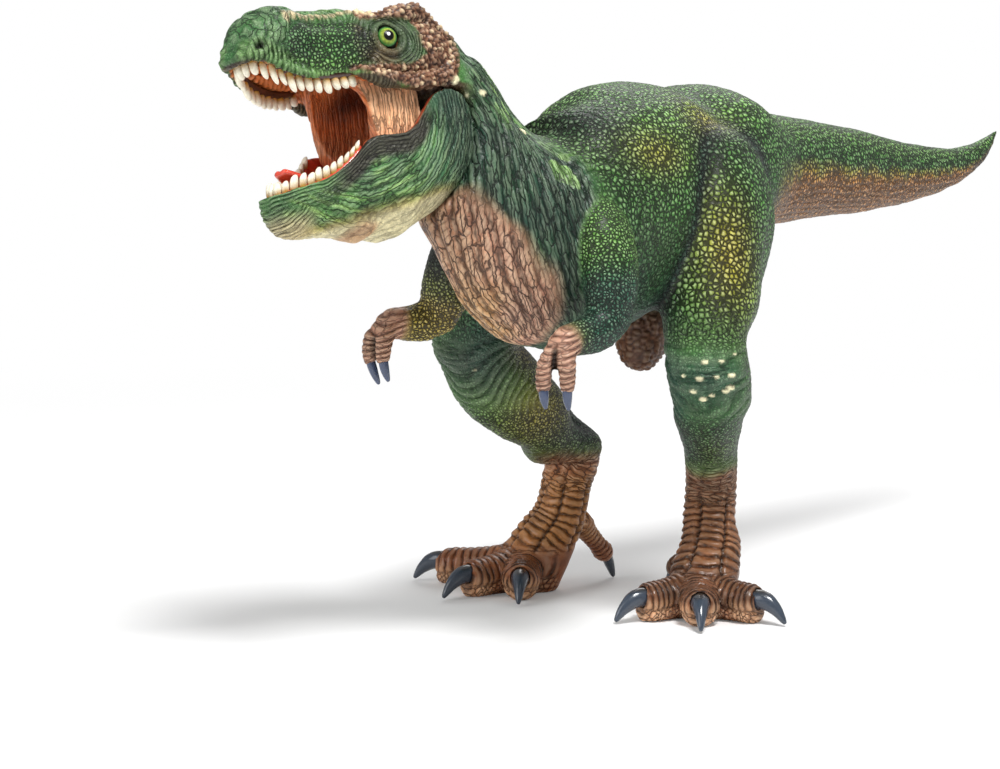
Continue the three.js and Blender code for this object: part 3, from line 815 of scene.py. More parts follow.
@dataclass(frozen=True)
class HideFinish:
    """Soft vinyl moulded with fine scales, airbrushed, with a dark wash in the hollows and pale dry-brush on
    the crests; the wash also stands for painted shade in hollows and gaps, and the pale tops for painted
    highlights.

    Vinyl under matt acrylic paint: satin, IOR about 1.5, with the gloss of thicker paint where it pools.
    Scales, lines and wrinkles are drawn a little coarser than on the figure, so that a picture can hold them.
    """

    name: str
    scale_mm: float = 1.15  # the scales on the back; on head, arms and low flanks they are two thirds as wide
    roughness: float = 0.42
    pooled: float = 0.2  # the roughness where the paint pools
    bump_mm: float = 0.3
    brush_and_highlight: float = 0.72  # how much pale paint the tops of the scales took, as dry-brush and as painted highlight
    bright: Point = (0.24, 0.25, 0.185)  # what the pale paint, dry-brush and painted highlight, adds to the paint under it
    wash_and_shade: Point = (0.003, 0.0025, 0.002)  # the wash, in the deepest places, which also stands for painted shade

    def lines(self, put: Put, layer: str, drift: bpy.types.Node) -> list[bpy.types.Node]:
        """Turn one layer of line marks into dark grooves, a wash that is partly painted shade, and pale
        crests, partly painted highlight.

        Args:
            put: Adds a node to the material.
            layer: "score" or "cross".
            drift: Noise that bends the lines and fades them here and there.

        Returns:
            The grooves and the crests.
        """
        phase, depth = (
            put("Attribute", attribute_name=f"{layer}_{name}").outputs["Fac"] for name in ("phase", "depth")
        )
        breaks = put("MapRange", {0: drift, 1: 0.32, 2: 0.52, 3: 0.3, 4: 1.0})
        held = put("Math", {0: depth, 1: breaks}, **TIMES)
        wobble = put("Math", {0: drift, 1: 0.5}, operation="SUBTRACT")
        bent = put("Math", {0: wobble, 1: 0.9, 2: phase}, operation="MULTIPLY_ADD")
        turn = put("Math", {0: bent, 1: math.pi}, operation="MULTIPLY")
        wave = put("Math", {0: turn}, operation="SINE")
        wave = put("Math", {0: wave}, operation="ABSOLUTE")
        groove = put("MapRange", {0: wave, 1: 0.08, 2: 0.62, 3: 1.0, 4: 0.0})
        crest = put("MapRange", {0: wave, 1: 0.7, 2: 1.0, 3: 0.0, 4: 1.0})
        return [put("Math", {0: part, 1: held}, **TIMES) for part in (groove, crest)]

    def scales(self, put: Put, place: object, size: float, flat: bool = False) -> list[bpy.types.Node]:
        """Moulded scales of one size.

        Args:
            put: Adds a node to the material.
            place: Where the scales lie.
            size: How many there are to a unit of it.
            flat: Whether the place has only two axes.

        Returns:
            The scales' domes, pale tops and tones.
        """
        links = {"Vector": place, "Scale": size, "Randomness": 0.8}
        edge, middle = (
            put("TexVoronoi", links, feature=kind, voronoi_dimensions="2D" if flat else "3D")
            for kind in ("DISTANCE_TO_EDGE", "F1")
        )
        thin, wide = (0.015, 0.13) if flat else (0.05, 0.25)  # the gap between scales, as a share of one
        dome = put("MapRange", {0: edge, 1: thin, 2: wide, 3: 0.0, 4: 1.0}, interpolation_type="SMOOTHERSTEP")
        top = put("MapRange", {0: middle, 1: 0.46, 2: 0.17, 3: 0.0, 4: 1.0})
        tone = put("SeparateColor", {0: middle.outputs["Color"]})
        return [dome, put("Math", {0: top, 1: dome}, **TIMES), tone]

    def stray(self, put: Put, place: object, noise: bpy.types.Node, reach: float) -> bpy.types.Node:
        """Push places about by noise, so that what lies there is less even.

        Args:
            put: Adds a node to the material.
            place: The places.
            noise: The noise.
            reach: How far they go.

        Returns:
            The new places.
        """
        lean = put("VectorMath", {0: noise.outputs["Color"], 1: (0.5, 0.5, 0.5)}, operation="SUBTRACT")
        push = put("VectorMath", {0: lean, 3: reach}, operation="SCALE")
        return put("VectorMath", {0: place, 1: push}, operation="ADD")

    def moulding(self, put: Put, spot: bpy.types.NodeSocket, drift: bpy.types.Node) -> list[bpy.types.Node]:
        """Lay the scales, and the net of wrinkles over them.

        Args:
            put: Adds a node to the material.
            spot: The place on the object.
            drift: Noise that makes the scales less even.

        Returns:
            The dark gaps, the pale tops and the tone of each scale.
        """
        pebble, fine, net, u, v = (
            put("Attribute", attribute_name=name).outputs["Fac"]
            for name in ("pebble", "fine", "net_depth", "net_u", "net_v")
        )
        place = self.stray(put, spot, drift, 0.9 * MM)
        size = 1 / (self.scale_mm * MM)
        pairs = zip(self.scales(put, place, size), self.scales(put, place, size * 1.5))
        dome, top, tone = (put("Mix", {0: fine, 2: large, 3: small}) for large, small in pairs)
        loose = put("TexNoise", {"Vector": spot, "Scale": 520.0, "Detail": 2.0})
        flat = self.stray(put, put("CombineXYZ", {0: u, 1: v}), loose, 1.1)
        pad, rise, shade = self.scales(put, flat, 1.0, flat=True)
        crack, gap = (
            put("Math", {0: put("Math", {0: 1.0, 1: raised}, **LESS), 1: mask}, **TIMES)
            for raised, mask in ((pad, net), (dome, pebble))
        )
        hump, top = (put("Math", {0: part, 1: mask}, **TIMES) for part, mask in ((rise, net), (top, pebble)))
        tint = put("MapRange", {0: tone, 1: 0.0, 2: 1.0, 3: 0.6, 4: 1.35})
        tint = put("Mix", {0: pebble, 2: 1.0, 3: tint})
        patchy = put("MapRange", {0: shade, 1: 0.0, 2: 1.0, 3: 0.72, 4: 1.25})
        return [
            put("Math", {0: gap, 1: crack}, **MOST), put("Math", {0: top, 1: hump}, **MOST),
            put("Mix", {0: net, 2: tint, 3: patchy}),
        ]

    def paint(
        self, put: Put, spot: bpy.types.NodeSocket, fine_noise: bpy.types.Node, tint: bpy.types.Node,
        pale: bpy.types.Node, dark: bpy.types.Node,
    ) -> bpy.types.Node:
        """Colour the vinyl: airbrush, dry-brush and wash; the pale dry-brush is partly painted highlight and
        the dark wash partly painted shade.

        Args:
            put: Adds a node to the material.
            spot: The place on the object.
            fine_noise: Fine noise.
            tint: The tone of each scale.
            pale: Where the dry-brush catches, partly painted highlight.
            dark: Where the wash lies, partly painted shade.

        Returns:
            The colour.
        """
        coat = put("Attribute", attribute_name="coat").outputs["Color"]
        net, gloss = (put("Attribute", attribute_name=name).outputs["Fac"] for name in ("net_depth", "gloss"))
        mottle = put("TexNoise", {"Vector": spot, "Scale": 190.0, "Detail": 3.0})
        shade = put("MapRange", {0: mottle, 1: 0.3, 2: 0.7, 3: 0.72, 4: 1.24})
        grain = put("MapRange", {0: fine_noise, 1: 0.3, 2: 0.7, 3: 0.74, 4: 1.22})
        depth = put("Math", {0: shade, 1: grain}, operation="MULTIPLY")
        depth = put("Math", {0: depth, 1: tint}, operation="MULTIPLY")
        toned = put("VectorMath", {0: coat, 3: depth}, operation="SCALE")
        held = put("MapRange", {0: gloss, 1: 0.0, 2: 1.0, 3: self.brush_and_highlight, 4: 0.3 * self.brush_and_highlight})
        shown = put("RGBToBW", {0: coat})
        grip = put("MapRange", {0: shown, 1: 0.02, 2: 0.12, 3: 0.3, 4: 1.0})  # dark paints take less of it
        share = put("Math", {0: put("Math", {0: pale, 1: held}, **TIMES), 1: grip}, **TIMES)
        wash_and_shade = put("MapRange", {0: net, 1: 0.0, 2: 1.0, 3: 0.05, 4: 0.15})
        scaled = (put("VectorMath", {0: coat, 3: level}, operation="SCALE") for level in (1.15, wash_and_shade))
        added = zip(scaled, (self.bright, self.wash_and_shade))
        bright, ink = (put("VectorMath", {0: base, 1: more}, operation="ADD") for base, more in added)
        # The pale mix is dry-brush and painted highlight; the dark mix is wash and painted shade.
        brush_and_highlight = put("Mix", {0: share, 6: toned, 7: bright}, **COLOURS)
        return put("Mix", {0: dark, 6: brush_and_highlight, 7: ink}, **COLOURS)

    def build(self) -> bpy.types.Material:
        """Make the material.

        Returns:
            The material.
        """
        material, put = fresh(self.name)
        spot = put("TexCoord").outputs["Object"]
        crevice, raised, gloss = (
            put("Attribute", attribute_name=name).outputs["Fac"] for name in ("crevice", "raised", "gloss")
        )
        drift = put("TexNoise", {"Vector": spot, "Scale": 300.0, "Detail": 2.0})
        fine_noise = put("TexNoise", {"Vector": spot, "Scale": 1100.0, "Detail": 3.0, "Roughness": 0.7})
        gap, top, tint = self.moulding(put, spot, drift)
        (cut, crest), (nick, ridge) = (self.lines(put, layer, drift) for layer in ("score", "cross"))
        # Painted highlight, on top of the dry-brush: pale on scale tops, line crests and raised relief.
        pale = put("Math", {0: put("Math", {0: crest, 1: ridge}, **MOST), 1: top}, **MOST)
        pale = put("Math", {0: pale, 1: put("Math", {0: raised, 1: 0.85}, **TIMES)}, **MOST)
        # Painted shade, on top of the wash: dark in the crevices, the scale gaps and the line grooves, broken
        # up by fine noise.
        deep = put("Math", {0: crevice, 1: put("Math", {0: fine_noise, 1: 0.5}, **PLUS)}, **TIMES)
        dark = put("Math", {0: gap, 1: cut}, **MOST)
        for part, level, depth in ((nick, 0.85, 1.0), (deep, 0.97, 0.95)):
            dark = put("Math", {0: dark, 1: depth}, **TIMES)
            dark = put("Math", {0: dark, 1: put("Math", {0: part, 1: level}, **TIMES)}, **MOST)
        colour = self.paint(put, spot, fine_noise, tint, pale, dark)
        lift = 1.0
        for part, level in ((gap, 1.0), (cut, 1.0), (nick, 0.7)):
            left = put("Math", {0: 1.0, 1: put("Math", {0: part, 1: level}, **TIMES)}, **LESS)
            lift = put("Math", {0: lift, 1: left}, **TIMES)
        lift = put("Math", {0: top, 1: 0.5, 2: lift}, operation="MULTIPLY_ADD")
        height = put("Math", {0: fine_noise, 1: 0.18, 2: lift}, operation="MULTIPLY_ADD")
        bump = put("Bump", {"Height": height, "Distance": self.bump_mm * MM, "Strength": 1.0})
        satin = put("MapRange", {0: gloss, 1: 0.0, 2: 1.0, 3: self.roughness, 4: self.pooled})
        links = {"Base Color": colour, "Roughness": satin, "Normal": bump}
        vinyl = {"IOR": 1.5, "Specular IOR Level": 0.36}
        put("OutputMaterial", {"Surface": put("BsdfPrincipled", links | vinyl)})
        return material


@dataclass(frozen=True)
class GlossFinish:
    """Vinyl under gloss paint, as on claws, teeth and tongue, with a darker root and fine streaks; on teeth
    and claws the root is a wash, on the tongue painted shade from the throat.
    """

    name: str
    tip: Paint
    root: Paint
    roughness: float = 0.2
    streak_mm: float = 0.35
    coat: float = 0.4

    def build(self) -> bpy.types.Material:
        """Make the material.

        Returns:
            The material.
        """
        material, put = fresh(self.name)
        spot = put("TexCoord").outputs["Object"]
        depth = put("Attribute", attribute_name="root").outputs["Fac"]
        size = 1 / (self.streak_mm * MM)
        streaks = put("TexNoise", {"Vector": spot, "Scale": size, "Detail": 3.0, "Roughness": 0.6})
        broad = put("TexNoise", {"Vector": spot, "Scale": 420.0, "Detail": 2.0})
        edge = put("Math", {0: broad, 1: 0.7, 2: depth}, operation="MULTIPLY_ADD")
        share = put("MapRange", {0: edge, 1: 0.55, 2: 1.15, 3: 0.0, 4: 1.0})
        base = put("Mix", {0: share, 6: linear(self.tip.value), 7: linear(self.root.value)}, **COLOURS)
        level = put("MapRange", {0: streaks, 1: 0.25, 2: 0.75, 3: 0.82, 4: 1.12})
        toned = put("VectorMath", {0: base, 3: level}, operation="SCALE")
        bump = put("Bump", {"Height": streaks, "Distance": 0.05 * MM, "Strength": 0.6})
        links = {"Base Color": toned, "Normal": bump, "Roughness": self.roughness, "IOR": 1.5}
        lacquer = {"Coat Weight": self.coat, "Coat Roughness": 0.1}
        put("OutputMaterial", {"Surface": put("BsdfPrincipled", links | lacquer)})
        return material


@dataclass(frozen=True)
class EyeFinish:
    """A glossy painted eye: black pupil with a dot of white as a painted highlight, streaked green iris, dark
    rim.
    """

    name: str
    centre: Point
    gaze: Point
    # How far from the gaze each paint begins, in radians, and the paint.
    stops: tuple[tuple[float, Paint], ...] = (
        (0.36, Paint.INK), (0.39, Paint.OLIVE), (0.54, Paint.IRIS), (0.72, Paint.LEAF), (0.82, Paint.FOREST),
        (0.88, Paint.INK),
    )

    def build(self) -> bpy.types.Material:
        """Make the material.

        Returns:
            The material.
        """
        material, put = fresh(self.name)
        spot = put("TexCoord").outputs["Object"]
        middle = tuple(c * MM for c in self.centre)
        inside = put("VectorMath", {0: spot, 1: middle}, operation="SUBTRACT")
        unit = put("VectorMath", {0: inside}, operation="NORMALIZE")
        facing = put("VectorMath", {0: unit, 1: self.gaze}, operation="DOT_PRODUCT")
        rings = put("ValToRGB", {0: put("Math", {0: facing}, operation="ARCCOSINE")})
        for element, position in zip(rings.color_ramp.elements, (0, 1)):
            element.position = position
            element.color = linear(Paint.INK.value)
        for position, paint in self.stops:
            rings.color_ramp.elements.new(position).color = linear(paint.value)
        streak = put("TexNoise", {"Vector": unit, "Scale": 7.0, "Detail": 3.0})
        level = put("MapRange", {0: streak, 1: 0.35, 2: 0.65, 3: 0.7, 4: 1.3})
        toned = put("VectorMath", {0: rings, 3: level}, operation="SCALE")
        # Painted highlight: a small white glint on the pupil, standing for a reflection of the lamps.
        glint_at = (Vector(self.gaze) + Vector((0.0, -0.03, 0.1))).normalized()
        glint = put("VectorMath", {0: unit, 1: tuple(glint_at)}, operation="DOT_PRODUCT")
        painted_glint = put("MapRange", {0: glint, 1: 0.991, 2: 0.994, 3: 0.0, 4: 1.0})
        final = put("Mix", {0: painted_glint, 6: toned, 7: (1.0, 1.0, 1.0, 1.0)}, **COLOURS)
        links = {"Base Color": final, "Roughness": 0.3, "Specular IOR Level": 0.25}
        put("OutputMaterial", {"Surface": put("BsdfPrincipled", links)})
        return material


@dataclass(frozen=True)
class SteelFinish:
    """Bright drawn steel wire with fine lengthwise marks."""

    name: str = "drawn_steel"

    def build(self) -> bpy.types.Material:
        """Make the material.

        Returns:
            The material.
        """
        material, put = fresh(self.name)
        marks = put("TexNoise", {"Vector": put("TexCoord").outputs["Object"], "Scale": 2500.0, "Detail": 2.0})
        level = put("MapRange", {0: marks, 1: 0.3, 2: 0.7, 3: 0.24, 4: 0.42})
        base = put("Mix", {0: marks, 6: linear("#8f9296"), 7: linear("#c5c8cc")}, **COLOURS)
        links = {"Base Color": base, "Roughness": level, "Metallic": 1.0}
        put("OutputMaterial", {"Surface": put("BsdfPrincipled", links)})
        return material


# The figure's skin


@dataclass(frozen=True)
class Seam:
    """A flat seam, facing out from the trunk."""

    out: Point
    middle: Point

    def beyond(self) -> bpy.types.Object:
        """Fill the space beyond the seam.

        Returns:
            A block, to cut with.
        """
        size = 150 * MM
        out = Vector(self.out).normalized()
        place = Vector(self.middle) * MM + out * size / 2
        bpy.ops.object.select_all(action="DESELECT")
        turn = out.to_track_quat("Z", "Y").to_euler()
        bpy.ops.mesh.primitive_cube_add(size=size, location=place, rotation=turn)
        return bpy.context.object


LIP_F = (-10, -2, 1.7, 7.7, 13, 18.5, 22.3, 26, 29.3, 32.5, 35.2, 38, 40.2, 42.5, 46)
LIP_U = (4.5, 6.6, 6.4, 5.4, 5.6, 8, 8.8, 8.2, 8.3, 8.8, 9.8, 11.2, 13, 13.7, 13.8)

# The nodular crest in side view: over the eye, down behind it and forward along the cheek.
CREST = (
    (18, 21.2), (11, 21.8), (4.5, 22.4), (1.2, 18.5), (0.2, 13.5), (1.5, 9.2), (8.5, 7.8),
    (16, 8.8), (23, 10.2),
)
CREST_AT = (0, 7.0, 13.5, 18.6, 23.7, 28.2, 35.3, 42.9, 50.0)
CREST_HALF = (0.9, 1.5, 2.6, 4.6, 5.2, 4.2, 2.7, 2.0, 0.6)

# Half width of the cavity of the upper jaw.
CAVE_F = (5, 12, 24, 31, 36, 40, 42)
CAVE_HALF = (10.4, 10.4, 9.0, 7.4, 6.2, 4.6, 2.6)

CREST_KNOB = 1.15  # the spacing of its nodules in millimetres
CREST_SEED = 37

# The row of knobs along each side of the snout's top, as L and F.
SNOUT_KNOBS = [(6.6 + 0.2 * i, 34.5 - 1.66 * i) for i in range(13)]

SHOULDERS = ((25, -74, 92), (-5, -73.5, 90))
WRIST = {"left": 37.5, "right": 33.0}  # how far along the arm it is
COLUMN = math.radians(64)  # how far round a shank one column of scutes reaches

# Pale knots: the place and the size of each, in millimetres.
KNEE_SPOTS = (
    (37.5, -50.0, 59.4, 0.9), (40.6, -48.6, 59.6, 0.8), (42.6, -45.9, 60.8, 0.5), (36.3, -50.5, 55.7, 1.3),
    (39.7, -49.2, 56.2, 0.8), (42.2, -46.8, 56.5, 0.9), (32.6, -50.6, 56.2, 0.7), (34.4, -48.9, 52.9, 1.0),
    (41.5, -45.8, 53.8, 1.1), (40.6, -46.4, 53.0, 0.9), (36.1, -47.8, 51.1, 1.1), (38.0, -47.6, 51.9, 0.8),
    (-20.5, -59.6, 55.5, 0.9), (-17.8, -59.2, 53.5, 1.0), (-14.8, -57.6, 55.2, 0.8), (-13.0, -55.6, 51.8, 0.9),
    (-21.5, -57.5, 50.5, 0.8), (-17.0, -55.5, 49.0, 0.9),
)
NECK_SPOTS = (
    (2.0, -96.2, 119.8, 0.9), (3.4, -94.6, 116.5, 0.8), (4.2, -92.6, 121.0, 0.7), (5.6, -90.8, 117.0, 0.8),
    (7.2, -88.6, 112.5, 0.7), (8.4, -86.6, 108.0, 0.6), (5.0, -91.5, 124.0, 0.8), (7.5, -86.5, 120.0, 0.7),
    (9.6, -84.0, 114.0, 0.7), (11.0, -81.0, 110.0, 0.8), (12.5, -78.5, 106.0, 0.7), (10.0, -80.0, 117.0, 0.7),
)

# Soft hollows, and swellings where the depth is below 0: middle, reach and depth in millimetres.
HOLLOWS = (
    ((10, -79.5, 113.5), (10, 7, 9), 2.2), ((1, -57, 113.5), (14, 8.5, 10), 4.4),
    ((-7, -84, 84), (8, 10, 10), 3.0),
)
LEG_HOLLOWS = {
    "left": (((43.5, -35, 63), (6, 7, 5), 2.2), ((42, -26, 80), (7, 8, 11), 1.6)),
    "right": (
        ((-6, -19, 42), (6, 6, 5.5), 3.5), ((-17.5, -23.5, 33), (5, 5, 6), -3.6),
        ((-23, -54, 54), (7, 8, 8), 1.4),
    ),
}

# Airbrushed dabs: middle and reach in millimetres, paint and strength.
Dab = tuple[Point, Point, Paint, float]
BACK_DABS: tuple[Dab, ...] = (
    ((16, -66, 110), (13, 9, 10), Paint.NIGHT, 0.85), ((32, -29, 109.5), (10, 10, 6), Paint.YELLOW, 0.85),
    ((24, -55, 103.5), (10, 9, 4.5), Paint.YELLOW, 0.75), ((-7, -32, 110), (9, 12, 6), Paint.YELLOW, 0.6),
)
LEG_DABS: dict[str, tuple[Dab, ...]] = {
    "left": (
        ((33, -44, 82), (5, 6, 15), Paint.MEADOW, 0.5), ((38, -40.5, 79.5), (6, 7, 14), Paint.YELLOW, 0.95),
        ((37, -49, 56), (9, 8, 7), Paint.TEAL, 0.75), ((33, -43, 64), (9, 9, 4), Paint.MEADOW, 0.5),
        ((33, -34, 37), (5, 6, 4), Paint.OLIVE, 0.3),
    ),
    "right": (
        ((-17, -57, 57), (12, 8, 8), Paint.NIGHT, 0.85), ((-13, -44, 49), (8, 8, 7), Paint.MEADOW, 0.75),
        ((-10, -36, 45), (8, 11, 8), Paint.YELLOW, 0.85), ((-9, -40, 60), (5, 8, 5), Paint.OCHRE, 0.6),
        ((-9, -18, 40), (8, 7, 8), Paint.NIGHT, 0.6),
    ),
}


class Zones:
    """Where the points of the skin lie on the figure."""

    def __init__(self, points: Array) -> None:
        """Work out every zone.

        Args:
            points: The skin's points in millimetres.
        """
        self.points = points
        self.x, self.y, self.z = points.T
        self.trunk = TRUNK.place(points)
        self.legs = {side: limb.place(points) for side, limb in LEG.items()}
        self.arms = {side: limb.place(points) for side, limb in ARM.items()}
        self.left, self.front, self.up = HEAD.local(points).T
        self.skull = ease(self.front, -7, -2.5) * ease(self.up, 0.5, 3.5) * ease(self.y, -84, -88)
        self.on_leg = {s: self.limb_mask(p) * ease(self.z, 112, 106) for s, p in self.legs.items()}
        for side, (pad, *_) in FEET.items():
            foot = np.hypot(self.x - pad[0], self.y - pad[1])
            own = self.x * (1 if side == "left" else -1) > -3
            self.on_leg[side] = np.maximum(self.on_leg[side], ease(self.z, 40, 34) * own * (foot < 60))
        self.on_arm = {s: self.limb_mask(p) * (self.y < -60) for s, p in self.arms.items()}
        limbs = sum(self.on_leg.values()) + sum(self.on_arm.values())
        self.rest = np.clip(1 - limbs - self.skull, 0, 1)
        self.above = np.sin(self.trunk.angle)
        self.tail = self.rest * ease(self.y, -6, 14)
        self.keel = self.rest * ease(self.z, 70, 65.5) * ease(self.y, -36, -32) * ease(self.y, 0, -6)
        border = -106.5 + (110 - self.z) * 0.62 + 2.5 * cloud(points, (5, 5, 12), seed=13)
        chest = ease(border - self.y, -3, 2.5) * ease(self.z, 116, 104)
        self.chest = self.rest * chest
        self.neck = self.rest * ease(self.y + 2 * cloud(points, 4, seed=14), -73, -78.5)

    def limb_mask(self, place: Place) -> Array:
        """How far points belong to a limb and not to the trunk."""
        return ease(self.trunk.out - place.out, -0.6, 1.6) * ease(place.out, 3.6, 1.4)

    def spot(self, centre: Sequence[float], reach: float | Sequence[float]) -> Array:
        """A soft round mask about a point, reaching so many millimetres, or as many along each axis."""
        away = (self.points - np.asarray(centre, float)) / np.asarray(reach, float)
        return np.exp(-(away**2).sum(1))

    def dabs(self, table: Sequence[Dab], mask: Array | float = 1.0) -> Iterator[tuple[Array, Paint, float]]:
        """Turn a table of dabs into coats of paint, under a mask."""
        return ((mask * self.spot(centre, reach), *coat) for centre, reach, *coat in table)


SLOTS = {"torso": "body_skin", "tail": "body_skin", "head": "head_skin"}
LIMBS = ("left_leg", "right_leg", "left_arm", "right_arm")


@dataclass
class Hide:
    """The skin over trunk, tail, head, arms and legs, sculpted and painted as one and parted at the seams."""

    filler_mm: float = 0.35
    tool_mm: float = 1.6
    tail_seam: Seam = Seam((0.12, 1, 0), (18.8, 12.03, 98))
    neck_seam: Seam = Seam((-0.45, -0.6, 0.66), (1.8, -81.97, 97.5))
    finish: HideFinish = HideFinish("painted_vinyl_hide")
    skin: Skin = field(init=False, repr=False)
    zones: Zones = field(init=False, repr=False)
    masks: dict[str, Array] = field(default_factory=dict)  # what the sculpting leaves for the paint

    def build(self) -> dict[str, bpy.types.Object]:
        """Sculpt the skin and part it.

        Returns:
            A piece for each CAD node, by the node's name.
        """
        casts = [cast(node, f"{node}_cast") for node in ("torso", "tail", "head", *LIMBS)]
        swell(casts[0], self.filler_mm)
        whole = join(casts, "whole_hide")
        regrain(whole, GRAIN)
        self.skin = Skin(whole)
        LOG.info("skin of %d points", len(self.skin.points))
        self.soften()
        self.zones = Zones(self.skin.points)
        for step in (
            self.fold_trunk, self.shape_head, self.fold_legs, self.fold_arms, self.band_feet,
            self.raise_knots, self.paint_trunk, self.paint_legs, self.paint_arms, self.paint_head,
        ):
            step()
        self.skin.emboss(floor=0.0)
        self.skin.store()
        whole.data.materials.append(self.finish.build())
        return self.part(whole)

    def soften(self) -> None:
        """Round off the flat faces: much on the trunk and thighs, little on the head, fingers and toes."""
        zones = Zones(self.skin.points)
        thigh = sum(mask * ease(zones.z, 40, 60) for mask in zones.on_leg.values())
        rounds = 3
        self.skin.relax(4 * rounds, 1.0 - 0.65 * zones.skull)
        self.skin.relax(14 * rounds, np.clip(zones.rest + thigh, 0, 1))

    def fold_trunk(self) -> None:
        """Fold the neck, chest, shoulders, flanks and the underside of the tail."""
        skin, zones, points = self.skin, self.zones, self.zones.points
        skin.relief += 0.22 * clouds(points, 9, 2, seed=3) * zones.rest
        top, bottom = np.array([-3.2, -80, 117.0]), np.array([11.0, -44, 73.0])
        axis = (bottom - top) / np.linalg.norm(bottom - top)
        ahead = np.cross(axis, (1.0, 0, 0))
        ahead *= -math.copysign(1, ahead[1]) / np.linalg.norm(ahead)
        away = points - top
        round_it = np.arctan2(away @ np.cross(ahead, axis), away @ ahead)  # 0 in front
        drift = cloud(points, (9, 9, 22), seed=5)
        stray = cloud(points, (4, 4, 12), seed=6)
        down = away @ axis + 1.5 * drift
        radius = np.interp(down, (0, 16, 44), (15, 24, 38))
        girth = radius * round_it + 1.0 * drift + 0.25 * stray  # mm round the neck
        depth = 0.55 + 0.45 * cloud(points, 11, seed=9)
        saddle = 2.6 * bell(zones.y + 19, 7) - 2.0 * bell(zones.y + 3, 9)
        skin.relief -= saddle * ease(zones.above, 0.2, 0.8) * zones.rest
        for centre, reach, sink in HOLLOWS:
            skin.relief -= sink * zones.spot(centre, reach) * zones.rest
        loose = np.maximum(zones.chest, zones.neck * (1 - zones.chest))
        skin.fold(loose, girth / 2.7, (0.55 + 0.45 * zones.chest) * depth, 0.75)
        cracked = np.stack([girth / 1.6, down / 11 + 0.13 * girth, np.zeros(len(girth))], axis=1)
        skin.knobs(loose, 1.0, 16, 0.45, places=cracked)  # long cells between cracks, as on skin that hangs
        creased = loose * ease(np.abs(round_it), 2.95, 2.6)
        skin.net(creased, girth / 0.95, down / 4.4 + 0.12 * girth)
        skin.score(0.95 * creased, girth / 2.7)
        skin.score(0.5 * zones.chest, down / 1.5 + 0.5 * girth + 0.9 * stray, "cross")
        shoulder = zones.rest * ease(zones.y, -52, -64) * (1 - zones.chest) * (1 - zones.neck)
        skin.fold(shoulder, girth / 3.4, 0.35 * depth)
        skin.score(0.45 * shoulder * ease(depth, 0.5, 0.7), girth / 1.6)
        for centre in SHOULDERS:
            reach = np.linalg.norm(points - np.array(centre, float), axis=1)
            ring = ease(reach, 7, 9.5) * ease(reach, 18, 11) * zones.rest
            skin.fold(ring, reach / 2.3 + 0.8 * stray, 0.6, 0.75)
            skin.score(0.6 * ring, reach / 1.15 + 0.8 * stray)
        flank = zones.rest * ease(zones.y, -46, -40) * ease(zones.y, -24, -32) * ease(zones.above, 0.75, 0.4)
        slant = zones.y + 0.3 * zones.z
        skin.fold(flank, slant / 3.2 + 0.6 * drift, 0.35, 0.75)
        skin.score(0.3 * flank * ease(depth, 0.5, 0.75), slant / 1.5 + 0.9 * stray)
        skin.knobs(zones.rest * (1 - zones.neck) * (1 - zones.keel), (1.6, 1.6, 1.4), 21, 0.12)
        skin.pebble = np.clip(1 - zones.keel - 0.95 * creased, 0, 1)
        skin.fine = 0.35 * ease(zones.above, 0.3, -0.3) * (1 - zones.tail)
        under = zones.tail * ease(zones.above, -0.05, -0.35)
        lanes = zones.trunk.angle * zones.trunk.radius
        skin.fold(under, lanes / 2.1 + 0.4 * stray, 0.35)
        skin.net(0.95 * under, lanes / 1.15 + 0.4 * stray, zones.trunk.along / 2.2)

    def shape_head(self) -> None:
        """Sculpt the lips, snout, brow, crest and the skin round the eyes."""
        skin, zones = self.skin, self.zones
        near = np.flatnonzero((zones.front > -12) & (zones.y < -84) & (zones.up > -1))
        points = zones.points[near]
        side, front, up = np.abs(zones.left[near]), zones.front[near], zones.up[near]
        skull = zones.skull[near]

        def spread(values: Array) -> Array:
            """Fill in 0 for the skin away from the head."""
            return np.bincount(near, values, len(zones.x))

        stray = cloud(points, 2.5, seed=31)
        lip = up - np.interp(front, LIP_F, LIP_U)
        edge = ease(front, 12, 17) * ease(side, 1, 3)
        relief = edge * 0.4 * bell(lip - 1.0, 0.9)
        relief += edge * ease(lip, 4.4, 2.4) * (folds(front / 1.4 + 0.5 * stray) - 0.7) * 0.4
        patch = np.hypot((front - 26.5) / 10.2, (up - 15.4) / 5.9)
        relief -= 0.45 * bell(patch - 1, 0.08) * ease(side, 4, 6)
        inside = ease(patch, 1.0, 0.93) * ease(side, 3, 5)
        fore = ease(front, 30, 35) * (1 - inside)
        swirl = np.hypot(front - 33, up - 8) / 1.9 + 1.1 * cloud(points, 5, seed=33)
        relief += fore * (folds(swirl) - 0.7) * 0.55
        relief += fore * (folds(0.5 * front + 0.6 * up + 1.2 * cloud(points, 3.5, seed=38)) - 0.7) * 0.3
        cap = ease(up, 19, 21.5) * ease(front, 12, 16)
        relief += cap * (folds(front / 2.2 + 1.4 * cloud(points, 3, seed=34)) - 0.7) * 0.35
        relief -= 1.2 * ease(up, 17.5, 20) * ease(front, 19, 24) * ease(front, 33, 29)
        relief += 1.9 * ease(up, 13, 17) * bell(front - 37, 4.5) * ease(front, 44, 41.5)
        relief += skull * inside * (cells(points, 1.1, seed=35)[0] - 0.6) * 0.12
        eye = np.hypot((front - 13) * 0.92, up - 16)
        round_eye = ease(side, 6, 8)
        relief += round_eye * 0.3 * bell(eye - 3.2, 0.35)
        relief -= round_eye * 0.35 * bell(eye - 4.0, 0.35)
        rings = folds(eye / 1.05 + 0.6 * cloud(points, 2.2, seed=36))
        relief += round_eye * ease(eye, 4, 4.6) * ease(eye, 9.5, 7.5) * (rings - 0.7) * 0.42
        away, along = near_line(np.stack([front, up], axis=1), CREST)
